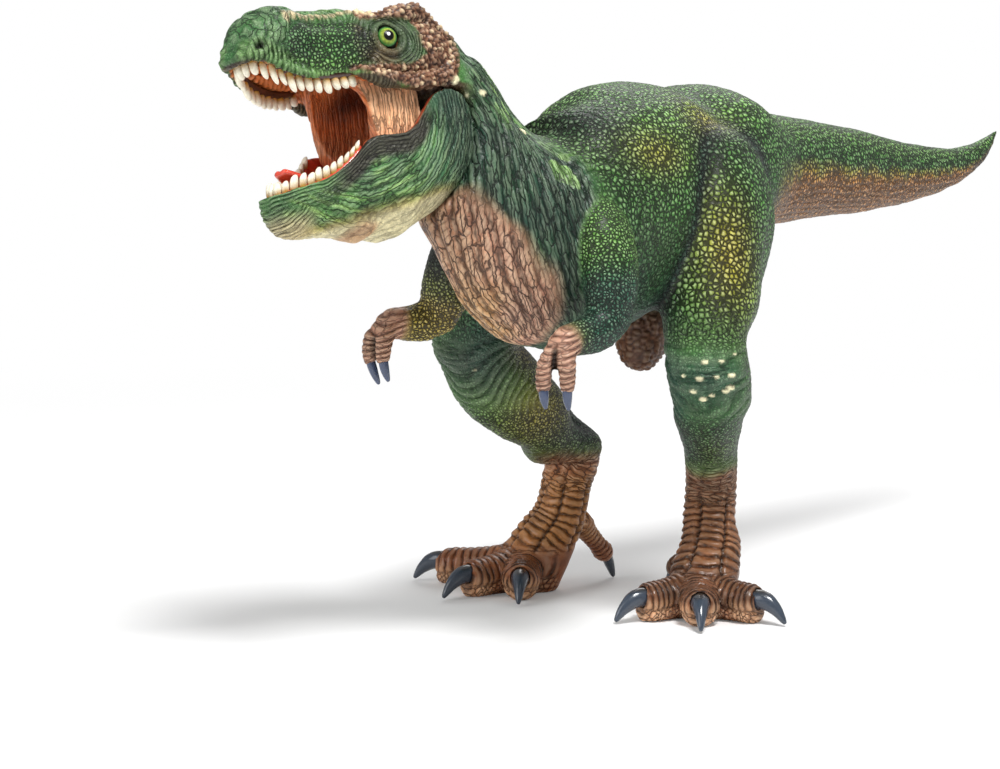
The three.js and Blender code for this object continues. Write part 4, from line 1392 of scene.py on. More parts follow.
        half = np.interp(along, CREST_AT, CREST_HALF)
        crest = ease(away - half, 0.5, -0.4) * ease(side, 4.5, 6.5) * ease(eye, 3.6, 4.8)
        relief += crest * (0.15 + (cells(points, CREST_KNOB, CREST_SEED)[0] - 0.5) * 0.8)
        for i, (beside, ahead) in enumerate(SNOUT_KNOBS):
            away = np.sqrt((side - beside) ** 2 + (front - ahead) ** 2 + 0.15 * (up - 21) ** 2)
            size = 0.62 + 0.14 * math.sin(7 * i)
            relief += (0.75 + 0.2 * math.sin(5 * i)) * bell(away, size)
        nostril = np.sqrt((side - 5.5) ** 2 + (front - 40.9) ** 2 + 1.6 * (up - 15.9) ** 2)
        relief += 0.3 * bell(nostril - 1.6, 0.5) - 1.1 * bell(nostril, 0.9)
        skin.relief[near] += relief * ease(zones.y[near], -84, -87)
        self.masks |= {
            "nostril": spread(bell(nostril, 0.85) * skull),
            "crest": spread(crest * skull),
            "patch": spread(inside * skull),
            "lip": spread(edge * ease(lip, 4.6, 3.0) * skull),
            "eye": spread(ease(eye, 9.5, 6) * round_eye * (1 - crest) * skull),
        }
        skin.pebble[near] = skin.pebble[near] * (1 - skull) + skull * np.maximum(inside, 0.35 * (1 - crest))
        skin.fine[near] = np.maximum(skin.fine[near], skull)
        plain = skull * (1 - crest) * (1 - inside)
        cheek = 0.8 * (1 - inside) * ease(eye, 7, 9) * ease(front, 8, 12) * ease(lip, 3.5, 5)
        skin.net(
            spread(0.95 * np.maximum(fore, cheek) * ease(lip, 3, 5) * plain),
            spread((0.85 * front + 0.5 * up) / 0.95 + 1.2 * cloud(points, 5, seed=39)),
            spread((0.85 * up - 0.5 * front) / 2.6 + 0.5 * stray),
        )
        for mask, phase, layer in (
            (edge * ease(lip, 5.2, 3.4), front / 0.8 + 0.5 * stray, "score"),
            (0.95 * round_eye * ease(eye, 3.9, 4.3) * ease(eye, 9.5, 7.5), eye / 0.75 + 0.6 * stray, "score"),
            (0.9 * cap, front / 1.1 + 0.9 * stray, "score"),
            (0.3 * (1 - inside) * (1 - fore), (0.4 * front + up) / 1.1 + 0.9 * stray, "cross"),
        ):
            skin.score(spread(mask * plain), spread(phase), layer)

    def fold_legs(self) -> None:
        """Hollow the legs and fold the knees and ankles."""
        skin, zones, points = self.skin, self.zones, self.zones.points
        for side, place in zones.legs.items():
            mask = zones.on_leg[side]
            far = side == "right"
            for centre, reach, sink in LEG_HOLLOWS[side]:
                skin.relief -= sink * zones.spot(centre, reach) * mask
            ahead = ease(-np.sin(place.angle), -0.3, 0.4)
            knee = mask * ease(zones.z, 66 if far else 65, 60) * ease(zones.z, 43, 49) * ahead
            bend = place.along + 3.0 * np.cos(place.angle) ** 2 + 1.6 * cloud(points, (7, 7, 4), seed=41)
            crease = bend / (2.3 if far else 2.9)
            skin.fold(knee, crease, 1.15 if far else 0.7)
            skin.net(0.6 * knee, bend / 1.6, place.angle * place.radius / 4.5)
            skin.score(0.85 * knee, crease)
            calf = mask * ease(zones.z, 30, 36)
            skin.knobs(calf, 1.5, 42, 0.15)
            skin.pebble = skin.pebble * (1 - mask) + calf * (1 - 0.45 * knee)
            skin.fine = np.maximum(skin.fine * (1 - mask), mask * ease(zones.z, 72, 60))
            ankle = mask * ease(zones.z, 37, 33) * ease(zones.z, 22, 25)
            ring = place.along + 1.0 * cloud(points, (4, 4, 2.5), seed=43)
            skin.fold(ankle, ring / 1.9, 0.5)
            skin.net(0.9 * ankle, ring / 0.95, place.angle * place.radius / 3.2)
        lean = skin.normals() @ np.array([-0.88, -0.47, 0])  # the left shin stands a little further in
        skin.relief += 1.3 * lean * zones.on_leg["left"] * ease(zones.z, 15, 21) * ease(zones.z, 50, 44)

    def fold_arms(self) -> None:
        """Fold the elbows and hands and part the fingers."""
        skin, zones, points = self.skin, self.zones, self.zones.points
        stray = cloud(points, 2.2, seed=48)
        self.masks["slits"] = np.zeros(len(points))
        for side, place in zones.arms.items():
            mask = zones.on_arm[side]
            upper = mask * ease(place.along, WRIST[side] + 1, WRIST[side] - 2)
            skin.knobs(upper, 1.3, 46, 0.14)
            skin.pebble = skin.pebble * (1 - mask) + upper
            skin.fine = np.maximum(skin.fine * (1 - mask), mask)
            elbow = mask * ease(place.along, 17, 20) * ease(place.along, 30, 26)
            skin.fold(elbow, place.along / 1.8 + 0.8 * stray, 0.25)
            hand = mask * ease(place.along, WRIST[side] - 2, WRIST[side] + 1)
            level = zones.z - 0.35 * (zones.y + 92)
            ring = level / 1.25 + 0.3 * stray
            skin.fold(hand, ring, 0.42)
            skin.net(0.5 * hand, level / 0.8 + 0.2 * stray, zones.x / 2.2)
            skin.score(0.85 * hand, ring)
            middle, across = HAND_GAP[side]
            between = (points[:, :2] - np.array(middle)) @ np.array(across)
            slit = hand * bell(between, 0.55) * ease(zones.z, 67, 64.5)
            skin.relief -= 1.3 * slit
            self.masks["slits"] = np.maximum(self.masks["slits"], slit)

    def band_feet(self) -> None:
        """Band the shanks, spurs and toes with scutes."""
        skin, zones, points = self.skin, self.zones, self.zones.points
        stray = cloud(points, 3, seed=51)
        self.masks["flesh"] = np.zeros(len(points))
        for side, (pad, tips, spacings) in FEET.items():
            mask = zones.on_leg[side] * ease(zones.z, 28, 24)
            place = zones.legs[side]
            column = (place.angle + math.pi / 2) / COLUMN + (0.68 if side == "left" else 0.18)
            number = np.round(column)
            groove = np.abs(np.abs(column - number) - 0.5) * COLUMN * place.radius
            spur_away, spur_along = near_line(points, SPURS[side])
            spur = mask * ease(spur_away, 5.2, 3.8) * ease(spur_along, 1.5, 4) * ease(place.out, 0.5, 2.0)
            shank = mask * ease(zones.z, 8.5, 11.5) * ease(place.out, 3, 1) * (1 - spur)
            scute = place.along / 1.95 + 0.4 * number + 0.2 * stray
            ahead = ease(-np.sin(place.angle), -0.55, 0.0)
            skin.relief += shank * ahead * (shingles(scute) - 0.6 - 0.8 * bell(groove, 0.5))
            self.edge_bands(shank * ahead, scute)
            back = shank * (1 - ahead)
            skin.fold(back, place.along / 1.7 + 0.8 * stray, 0.3)
            skin.net(0.85 * back, place.along / 0.95, place.angle * place.radius / 2.2)
            ring = spur_along / 1.35
            slim = 0.55 * ease(spur_along, 3, 6) * ease(spur_along, 14, 10)
            skin.relief += spur * ((shingles(ring) - 0.65) * 0.7 - slim)
            self.edge_bands(spur, ring)
            run, off, which = self.along_toes(np.array(pad), tips)
            toes = mask * (1 - shank) * (1 - spur) * ease(off, 9, 7)
            upper = toes * ease(zones.z - 0.1 * run, 1.6, 2.6)
            ring = -run / np.array(spacings)[which] + 0.12 * stray
            skin.relief += upper * (shingles(ring) - 0.65) * 0.6
            self.edge_bands(upper, ring)
            lower = toes - upper
            skin.fold(lower, run / 1.1 + 0.3 * stray, 0.3)
            skin.relief -= 0.3 * toes * bell(zones.z - 0.1 * run - 2.1, 0.45)
            skin.net(0.9 * lower, run / 0.85 + 0.3 * stray, zones.z / 1.2)
            fringe = toes * ease(run, 13.5, 10.5) * ease(zones.z, 6, 3)
            self.masks["flesh"] = np.maximum(self.masks["flesh"], fringe)
        skin.relief *= clear_of(CLAWS, points)

    def edge_bands(self, mask: Array, phase: Array) -> None:
        """Gloss the bands and cut a line at the edge of each, where the phase is a whole number."""
        self.skin.score(0.9 * mask, phase)
        self.skin.gloss = np.maximum(self.skin.gloss, mask * shingles(phase))

    def along_toes(self, pad: Array, tips: Sequence[tuple[float, float]]) -> tuple[Array, Array, Array]:
        """Find where the points lie along the toes of a foot.

        Args:
            pad: The place where the toes meet.
            tips: The tips of their claws.

        Returns:
            How far a point is from the tip, how far off the toe's middle line, and the toe's number.
        """
        flat = self.zones.points[:, :2] - pad
        off = np.full(len(flat), 1e9)
        run, which = np.zeros(len(flat)), np.zeros(len(flat), int)
        for i, tip in enumerate(tips):
            way = np.array(tip) - pad
            length = np.linalg.norm(way)
            ahead = flat @ (way / length)
            across = np.abs(flat @ np.array([-way[1], way[0]]) / length) + np.where(ahead < 0, 9, 0)
            closer = across < off
            off = np.where(closer, across, off)
            run = np.where(closer, length - ahead, run)
            which = np.where(closer, i, which)
        return run, off, which

    def raise_knots(self) -> None:
        """Raise the pale knots of knees and neck and the coarse scales under the hips."""
        skin, zones = self.skin, self.zones
        skin.knobs(zones.keel, (1.9, 1.9, 1.3), 61, 0.6, 0.5)
        skin.pebble *= 1 - 0.5 * zones.keel
        pale = np.zeros(len(zones.x))
        for spots, tall in ((KNEE_SPOTS, 0.55), (NECK_SPOTS, 1.1)):
            for *centre, size in spots:
                spot = zones.spot(centre, (0.85 * size, 1.5, tall * size))
                skin.relief += 0.5 * spot
                pale = np.maximum(pale, ease(spot, 0.3, 0.62))
        skin.bare(pale)
        self.masks["pale"] = pale

    def paint_trunk(self) -> None:
        """Airbrush the trunk, neck and tail."""
        skin, zones, points = self.skin, self.zones, self.zones.points
        above, tail, chest = zones.above, zones.tail, zones.chest
        drift = clouds(points, 14, 3, seed=71)
        neck = zones.neck * (1 - chest)
        light = cells(points, (3.2, 3.2, 6.5), seed=73)[1]
        level = above + 0.12 * cloud(points, 3, seed=74) + 0.1 * drift
        streak = cloud(points, (1.6, 6, 1.6), seed=75)
        skin.spray(
            (np.ones(len(points)), Paint.LEAF, 1.0),
            (ease(above + 0.3 * drift, 0.3, 0.95), Paint.MEADOW, 0.5),
            (ease(above + 0.3 * drift, 0.3, -0.5), Paint.FOREST, 0.85),
            (ease(above + 0.25 * drift, -0.35, -0.8) * ease(zones.y, -8, -20), Paint.TEAL, 0.7),
            (zones.rest * ease(above, 0.75, 0.95), Paint.FOREST, 0.4),
            *zones.dabs(BACK_DABS),
            (neck, Paint.FOREST, 0.85),
            (neck, Paint.NIGHT, 0.45),
            (neck * ease(drift, -0.1, 0.45), Paint.NIGHT, 0.7),
            (neck * ease(light, 0.62, 0.8) * ease(above, -0.2, 0.4), Paint.MEADOW, 0.75),
        )
        skin.spray(
            (tail * ease(level, 0.5, 0.0), Paint.FOREST, 0.4),
            (tail * ease(level, 0.2, -0.02), Paint.OLIVE, 0.85),
            (tail * ease(level, 0.04, -0.2), Paint.OCHRE, 0.95),
            (tail * bell(level + 0.08, 0.14), Paint.YELLOW, 0.5),
            (tail * ease(level, -0.2, -0.5), Paint.TAN, 0.7),
            (tail * ease(level, -0.15, -0.4), Paint.RUST, 0.5),
            (tail * ease(level, 0.0, -0.3), Paint.PALATE, 0.4),
            (tail * ease(level, -0.25, -0.5) * ease(streak, 0.1, 0.6), Paint.BROWN, 0.55),
            (tail * ease(level, -0.05, -0.35), Paint.OCHRE, 0.45),
            (tail * ease(zones.y, 108, 122) * ease(level, 0.3, -0.2), Paint.NIGHT, 0.75),
        )
        skin.spray(
            (chest, Paint.TAN, 0.95),
            (chest * ease(drift, -0.3, 0.4), Paint.ROSE, 0.8),
            (chest * ease(zones.z, 80, 90), Paint.BROWN, 0.5),
            (chest * ease(zones.z, 84, 68) * ease(drift, 0.3, -0.2), Paint.OCHRE, 0.6),
            (zones.keel, Paint.BROWN, 0.95),
            (zones.keel, Paint.UMBER, 0.45),
        )
        skin.pebble *= 1 - 0.8 * chest

    def paint_legs(self) -> None:
        """Airbrush the legs, with painted shade where the thighs meet the trunk."""
        skin, zones = self.skin, self.zones
        drift = clouds(zones.points, 9, 3, seed=81)
        for side, place in zones.legs.items():
            mask = zones.on_leg[side]
            inner = ease(np.cos(place.angle) * (1 if side == "left" else -1), 0.0, -0.7)
            # Painted shade: NIGHT in the crease where each thigh meets the trunk.
            fold = bell(place.out - zones.trunk.out, 3.0) * ease(place.out, 5, 2.5)
            skin.spray(
                (mask, Paint.LEAF, 0.9),
                (mask * ease(drift, 0.0, 0.5), Paint.FOREST, 0.6),
                (mask * ease(zones.z, 62, 50), Paint.FOREST, 0.45),
                (mask * inner * ease(zones.z, 30, 40), Paint.TEAL, 0.75),
                (mask * ease(np.sin(place.angle), 0.45, 0.95) * ease(zones.z, 34, 44), Paint.TEAL, 0.55),
                (fold * ease(zones.z, 60, 66) * ease(zones.z, 112, 106), Paint.NIGHT, 0.95),
            )
        for side, mask in zones.on_leg.items():
            skin.spray(*zones.dabs(LEG_DABS[side], mask))
        for mask in zones.on_leg.values():
            level = zones.z + 2.5 * drift
            skin.spray(
                (mask * ease(level, 38, 33), Paint.OLIVE, 0.4),
                (mask * ease(level, 34.5, 31), Paint.BROWN, 1.0),
                (mask * ease(level, 30, 24) * ease(drift, -0.5, 0.2), Paint.SCUTE, 0.8),
                (mask * ease(level, 30, 24), Paint.BROWN, 0.35),
                (mask * ease(level, 15, 8), Paint.BROWN, 0.85),
                (mask * ease(level, 14, 7) * ease(drift, -0.7, 0.1), Paint.UMBER, 0.7),
                (mask * ease(zones.z, 4, 2.2), Paint.RUST, 0.5),
            )
        far = zones.on_leg["right"]
        skin.spray(
            (far * ease(zones.z, 34, 29), Paint.RUST, 0.45),
            (far * ease(zones.z, 31, 25) * ease(zones.z, 8, 13), Paint.OCHRE, 0.3),
            (self.masks["flesh"], Paint.PEACH, 0.6),
        )

    def paint_arms(self) -> None:
        """Airbrush the arms, dark on the far one down to its golden forearm."""
        skin, zones = self.skin, self.zones
        drift = clouds(zones.points, 9, 3, seed=81)
        for side, mask in zones.on_arm.items():
            along, wrist, near = zones.arms[side].along, WRIST[side], side == "left"
            elbow = mask * ease(along, 13, 19)
            skin.spray(
                (mask, Paint.LEAF if near else Paint.NIGHT, 0.92),
                (elbow, Paint.TEAL if near else Paint.OLIVE, 0.85),
            )
            if near:
                skin.spray((mask * ease(along, 16, 10), Paint.MEADOW, 0.45))
            else:
                skin.spray(
                    (elbow * ease(along, 18, 23), Paint.MUSTARD, 0.95),
                    (elbow * ease(along, 21, 26), Paint.YELLOW, 0.6),
                    (mask * ease(along, 20, 14), Paint.INK, 0.55),
                )
            hand = mask * ease(along, wrist - 2, wrist + 1)
            skin.spray(
                (mask * ease(along, wrist - 5, wrist), Paint.OLIVE, 0.5 if near else 0.2),
                (hand, Paint.ROSE, 0.95),
                (hand * ease(drift, -0.4, 0.4), Paint.BROWN, 0.55),
            )
        skin.spray((self.masks["slits"], Paint.INK, 0.8), (self.masks["pale"], Paint.CREAM, 0.95))

    def paint_head(self) -> None:
        """Paint the head."""
        skin, zones, points, skull = self.skin, self.zones, self.zones.points, self.zones.skull
        crest, eye = self.masks["crest"], self.masks["eye"]
        drift = clouds(points, 5, 3, seed=91)
        near = np.flatnonzero(crest > 0.01)
        knob, tone = (np.zeros(len(points)) for _ in range(2))
        knob[near], tone[near] = cells(points[near], CREST_KNOB, CREST_SEED)
        away = [np.hypot(np.abs(zones.left) - beside, zones.front - ahead) for beside, ahead in SNOUT_KNOBS]
        cave = np.interp(zones.front, CAVE_F, CAVE_HALF) + 1.4 - np.abs(zones.left)
        inside = ease(cave, -0.2, 0.2) * ease(zones.up, 16.4, 15.6) * (zones.y < -88)
        inside = inside * ease(zones.front, 4, 6) * ease(zones.front, 42.2, 41.6)
        under = skull * ease(zones.up - np.interp(zones.front, LIP_F, LIP_U), 0.25, -0.25) * (1 - inside)
        skin.spray(
            (skull, Paint.LEAF, 0.95),
            (skull * ease(drift, 0.0, 0.6), Paint.FOREST, 0.6),
            (skull * ease(drift, -0.1, -0.5), Paint.MEADOW, 0.5),
            (self.masks["patch"], Paint.LEAF, 0.6),
            (skull * ease(zones.front, 28, 34), Paint.FOREST, 0.75),
            (self.masks["lip"], Paint.MEADOW, 0.3),
            (self.masks["nostril"], Paint.INK, 0.95),
            (eye, Paint.CHARCOAL, 0.7),
            (eye * ease(drift, 0.1, -0.4), Paint.FOREST, 0.6),
            (eye * ease(drift, 0.0, 0.5), Paint.BROWN, 0.4),
            (crest, Paint.UMBER, 1.0),
            (crest * ease(knob, 0.25, 0.7), Paint.BROWN, 0.9),
            (crest * ease(tone, 0.2, 0.9) * ease(knob, 0.3, 0.7), Paint.ROSE, 0.5),
            (crest * ease(knob, 0.5, 0.9) * ease(tone, 0.45, 0.9), Paint.BEIGE, 0.7),
            (skull * ease(np.min(away, axis=0), 0.9, 0.5) * ease(zones.up, 17, 19), Paint.BEIGE, 0.9),
            (inside, Paint.PALATE, 0.95),
            (under, Paint.UMBER, 0.9),
            (self.masks["pale"], Paint.CREAM, 0.9),
        )
        skin.bare(inside)

    def part(self, whole: bpy.types.Object) -> dict[str, bpy.types.Object]:
        """Part the skin at the seams.

        Args:
            whole: The sculpted skin.

        Returns:
            A piece for each CAD node, by the node's name.
        """
        parts: dict[str, bpy.types.Object] = {}
        source = double(whole, "uncut_hide")
        tree = KDTree(len(source.data.vertices))
        for index, vertex in enumerate(source.data.vertices):
            tree.insert(vertex.co, index)
        tree.balance()
        tools = []
        for limb in LIMBS:
            tool = cast(limb, f"{limb}_tool")
            swell(tool, self.tool_mm)
            regrain(tool, 1.0)
            tools.append(tool)
            parts[limb] = double(whole, f"{limb}_skin")
            carve_with(parts[limb], tool, "INTERSECT")
        limbs = join(tools, "limb_tools")
        carve_with(whole, limbs, "DIFFERENCE")
        blocks = {"head": self.neck_seam.beyond(), "tail": self.tail_seam.beyond()}
        for name, block in blocks.items():
            parts[name] = double(whole, f"{name}_skin")
            carve_with(parts[name], block, "INTERSECT")
            carve_with(whole, block, "DIFFERENCE")
        parts["torso"] = whole
        discard(limbs, *blocks.values())
        for name, piece in parts.items():
            piece.name = f"{name}_skin"
            heal_cut(piece, source, tree)
            piece.data.attributes.remove(piece.data.attributes["kept"])
            settle(piece, "figure", SLOTS.get(name, "limb_skin"), name)
            bpy.ops.object.shade_smooth_by_angle(angle=math.radians(70))
        discard(source)
        return parts


def settle(piece: bpy.types.Object, body: str, slot: str, *nodes: str) -> None:
    """Smooth a finished piece and hand it over.

    Args:
        piece: The piece.
        body: The body that it moves with.
        slot: Its material slot; not used.
        nodes: The CAD nodes that it stands for.
    """
    alone(piece)
    bpy.ops.object.shade_smooth()
    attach(piece, body)
    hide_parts(*nodes)
    LOG.info("%s: %d faces", piece.name, len(piece.data.polygons))


JAW_F = (-14, 0, 8, 15, 22, 29, 34, 38, 40.1, 41)
JAW_HALF = (13.6, 13.8, 13.4, 12.7, 11.2, 8.9, 7.1, 5.4, 3.6, 1.8)
RIM_F = (-5, 3.8, 6.3, 9.5, 12.5, 16.5, 20, 22.5, 25, 28.5, 31.5, 34.5, 37.3, 41.5, 46)
RIM_U = (8, 4.4, 2, -1.6, -3.4, -3.5, -3.7, -5.1, -7.5, -9.9, -11.2, -11.9, -12.4, -13.3, -14)


def fine_skin(node: str, rounds: int) -> Skin:
    """Start the skin of one of the head's smaller CAD nodes.

    Args:
        node: The node.
        rounds: How much its flat faces are rounded off.

    Returns:
        Its skin.
    """
    piece = cast(node, f"{node}_skin")
    regrain(piece, HEAD_GRAIN)
    skin = Skin(piece)
    skin.relax(rounds, 0.8)
    return skin


def hand_over(skin: Skin, finish: HideFinish, body: str, slot: str, node: str) -> bpy.types.Object:
    """Finish a sculpted and painted skin.

    Args:
        skin: The skin.
        finish: Its finish.
        body: The body that it moves with.
        slot: Its material slot.
        node: The CAD node that it stands for.

    Returns:
        The finished piece.
    """
    skin.emboss()
    skin.store()
    skin.piece.data.materials.append(finish.build())
    settle(skin.piece, body, slot, node)
    return skin.piece


@dataclass
class LowerJaw:
    """The lower jaw: creased green with a dark band under the teeth, a pale underside and a red inside."""

    finish: HideFinish = HideFinish("painted_vinyl_jaw", scale_mm=0.8, roughness=0.46)

    def build(self) -> bpy.types.Object:
        """Sculpt and paint the jaw.

        Returns:
            The jaw.
        """
        skin = fine_skin("lower_jaw", 10)
        points = skin.points
        left, front, up = HEAD.local(points).T
        out, rise = skin.normals() @ HEAD.matrix()[:, 0] * np.sign(left), skin.normals() @ HEAD.matrix()[:, 2]
        wall = np.interp(front, JAW_F, JAW_HALF) - np.abs(left)
        inward = np.maximum(ease(out, 0.05, -0.35), ease(rise, 0.25, 0.7))
        inner = inward * ease(wall, 0.7, 1.5) * ease(up, -20.5, -19.5) * ease(front, 39.5, 38.5)
        outer = 1 - inner
        below = np.interp(front, RIM_F, RIM_U) - up
        reach = np.hypot(front - 24, up - 4)
        warp = cloud(points, 6, seed=101)
        stray = cloud(points, 2.5, seed=109)
        arc = reach / 2.1 + 0.5 * warp
        chin = ease(front, 32, 37)
        curl = np.hypot(front - 44, up + 12)
        body = outer * ease(below, 1.0, 3.0)
        side = body * (1 - chin)
        cheek = body * ease(front, 6, 14)
        slant = front + 1.4 * up
        skin.fold(side, arc, 0.4 * (0.6 + 0.4 * cloud(points, 7, seed=104)))
        skin.fold(side, reach / 0.95 + 0.9 * cloud(points, 3, seed=102), 0.15)
        skin.fold(cheek, slant / 1.9 + 0.9 * cloud(points, 3.5, seed=103), 0.3)
        skin.fold(body * chin, curl / 1.25 + 0.4 * warp, 0.4)
        rear = outer * ease(front, 6, 2)
        fan = np.arctan2(front, up + 26)
        skin.fold(rear, fan * 14 + 0.7 * warp, 0.25)
        band = outer * ease(below, -2.2, -1.4) * ease(below, 5.4, 3.4) * ease(front, 4, 9)
        skin.fold(band, below / 0.9 + 0.5 * cloud(points, 3, seed=105), 0.28)
        skin.relief += inner * 0.15 * clouds(points, 3, 2, seed=106)
        wattle = outer * ease(up, -18.5, -20) * bell(front - 21.8, 3.6) * bell(left - 2.5, 5)
        skin.relief += 2.4 * wattle + 1.5 * outer * ease(up, -16, -19) * bell(front - 12.5, 4)
        edge = -19.8 + (30 - front) * 0.2 - up
        drift = clouds(points, 6, 3, seed=107)
        pale = outer * ease(edge + 1.2 * drift, -1.6, 1.4) * ease(front, -2, 4)
        turn = np.arctan2(front - 24, 4 - up)
        skin.net(
            0.97 * side * (1 - 0.45 * pale), reach / 0.95 + 0.5 * warp + 0.3 * stray, turn * 1.7 + 0.5 * warp
        )
        for mask, phase, layer in (
            (0.95 * body * chin, curl / 0.8 + 0.4 * stray, "score"),
            (0.9 * rear, fan * 30 + 0.7 * stray, "score"),
            (0.95 * band, below / 0.75 + 0.5 * stray, "score"),
            (0.6 * cheek * (1 - 0.6 * pale), slant / 1.5 + 0.9 * stray, "cross"),
            (0.35 * outer, (front - 0.6 * up) / 1.6 + 0.9 * warp, "cross"),
        ):
            skin.score(mask, phase, layer)
        skin.spray(
            (np.ones(len(points)), Paint.LEAF, 1.0),
            (ease(drift, -0.4, 0.4), Paint.FOREST, 0.85),
            (body * ease(folds(arc), 0.85, 1.0) * ease(drift, 0.3, -0.2), Paint.MEADOW, 0.75),
            (outer * ease(front, 14, 4), Paint.TEAL, 0.5),
            (rear * ease(up, -16, -6), Paint.NIGHT, 0.7),
            (band * ease(front, 32, 26), Paint.CHARCOAL, 0.95),
            (band * ease(front, 44, 30), Paint.INK, 0.35),
            (pale, Paint.MUSTARD, 0.9),
            (pale * ease(edge, 0.0, 1.8), Paint.CREAM, 0.75),
            (outer * chin * ease(up, -16, -20), Paint.BEIGE, 0.7),
            (ease(wattle, 0.15, 0.6), Paint.RUST, 0.6),
            (inner, Paint.PALATE, 1.0),
            (inner * ease(below, 5, 1.5), Paint.GUM, 0.9),
            # Painted shade: the back of the mouth floor, deep in the mouth, is painted dark.
            (inner * ease(front, 16, 8), Paint.THROAT, 0.7),
        )
        skin.gloss = inner * 0.7
        skin.pebble = 0.25 * outer
        return hand_over(skin, self.finish, "jaw", "head_skin", "lower_jaw")


@dataclass
class Mouth:
    """The palate, the fibrous cheek skin and the throat, darkened with painted shade deep in the mouth."""

    finish: HideFinish = HideFinish("painted_vinyl_mouth", scale_mm=0.7, roughness=0.38)

    def build(self) -> bpy.types.Object:
        """Sculpt and paint the lining.

        Returns:
            The lining.
        """
        skin = fine_skin("mouth_lining", 6)
        points = skin.points
        left, front, up = HEAD.local(points).T
        out = (skin.normals() @ HEAD.matrix()[:, 0]) * np.sign(left)
        low = ease(up, 13, 11)
        cheek = ease(out, 0.2, 0.6) * low
        stray = cloud(points, (2, 2, 6), seed=111)
        lane = front + np.abs(left)
        skin.fold(low, lane / 1.7 + 0.12 * up + 0.5 * stray, 0.22)
        skin.fold(ease(up, 11.5, 12.5), front / 1.5 + 0.4 * cloud(points, 3, seed=113), 0.3)
        skin.net(low * (0.4 + 0.3 * cheek), lane / 0.75 + 0.1 * up + 0.4 * stray, up / 8)
        # Painted shade: the throat's far wall, deep in the mouth, is painted dark.
        deep = (1 - ease(out, 0.1, 0.6)) * ease(np.abs(left), 9.8, 7.5) * ease(up, 0.5, 6)
        skin.spray(
            (np.ones(len(points)), Paint.PALATE, 1.0),
            (cheek, Paint.PEACH, 0.9),
            (cheek * ease(cloud(points, (3, 3, 8), seed=114), 0.2, 0.7), Paint.TAN, 0.45),
            (deep * ease(front, 19, 13), Paint.THROAT, 0.9),
            ((1 - cheek) * ease(up, 2.5, -2.5), Paint.PEACH, 0.35),
            ((1 - cheek) * ease(up, -3.5, -6.5), Paint.GUM, 0.6),
        )
        skin.gloss = (1 - cheek) * 0.5
        return hand_over(skin, self.finish, "figure", "mouth_skin", "mouth_lining")


# Teeth, tongue, claws and eyes


def ring_skin(rings: Sequence[Array], name: str) -> bpy.types.Object:
    """Make a closed skin over rings of points, all of the same count, with a point closing each end.

    Args:
        rings: The rings, each an array of points in millimetres.
        name: The new piece's name.

    Returns:
        The piece.
    """
    sides, last = len(rings[0]), len(rings) - 1
    points = np.vstack([*rings, rings[0].mean(0)[None], rings[-1].mean(0)[None]])
    faces = []
    for j in range(sides):
        k = (j + 1) % sides
        starts = range(0, last * sides, sides)
        faces += [(low + j, low + k, low + sides + k, low + sides + j) for low in starts]
        faces += [(k, j, len(points) - 2), (last * sides + j, last * sides + k, len(points) - 1)]
    data = bpy.data.meshes.new(name)
    data.from_pydata((points * MM).tolist(), [], faces)
    piece = bpy.data.objects.new(name, data)
    bpy.context.scene.collection.objects.link(piece)
    alone(piece)
    bpy.ops.object.mode_set(mode="EDIT")
    bpy.ops.mesh.select_all(action="SELECT")
    bpy.ops.mesh.normals_make_consistent(inside=False)
    bpy.ops.object.mode_set(mode="OBJECT")
    return piece


def hoop(middle: Array, along: Array, up: Array, count: int) -> Array:
    """So many points round a middle, on a ring with two half axes, given as L, F and U."""
    turns = np.linspace(0, 2 * math.pi, count, endpoint=False)
    return HEAD.world(middle + np.outer(np.cos(turns), along) + np.outer(np.sin(turns), up))


def square_to(along: Array) -> Array:
    """The level direction square to another."""
    across = np.cross(along, (0, 0, 1.0))
    return across / np.linalg.norm(across)


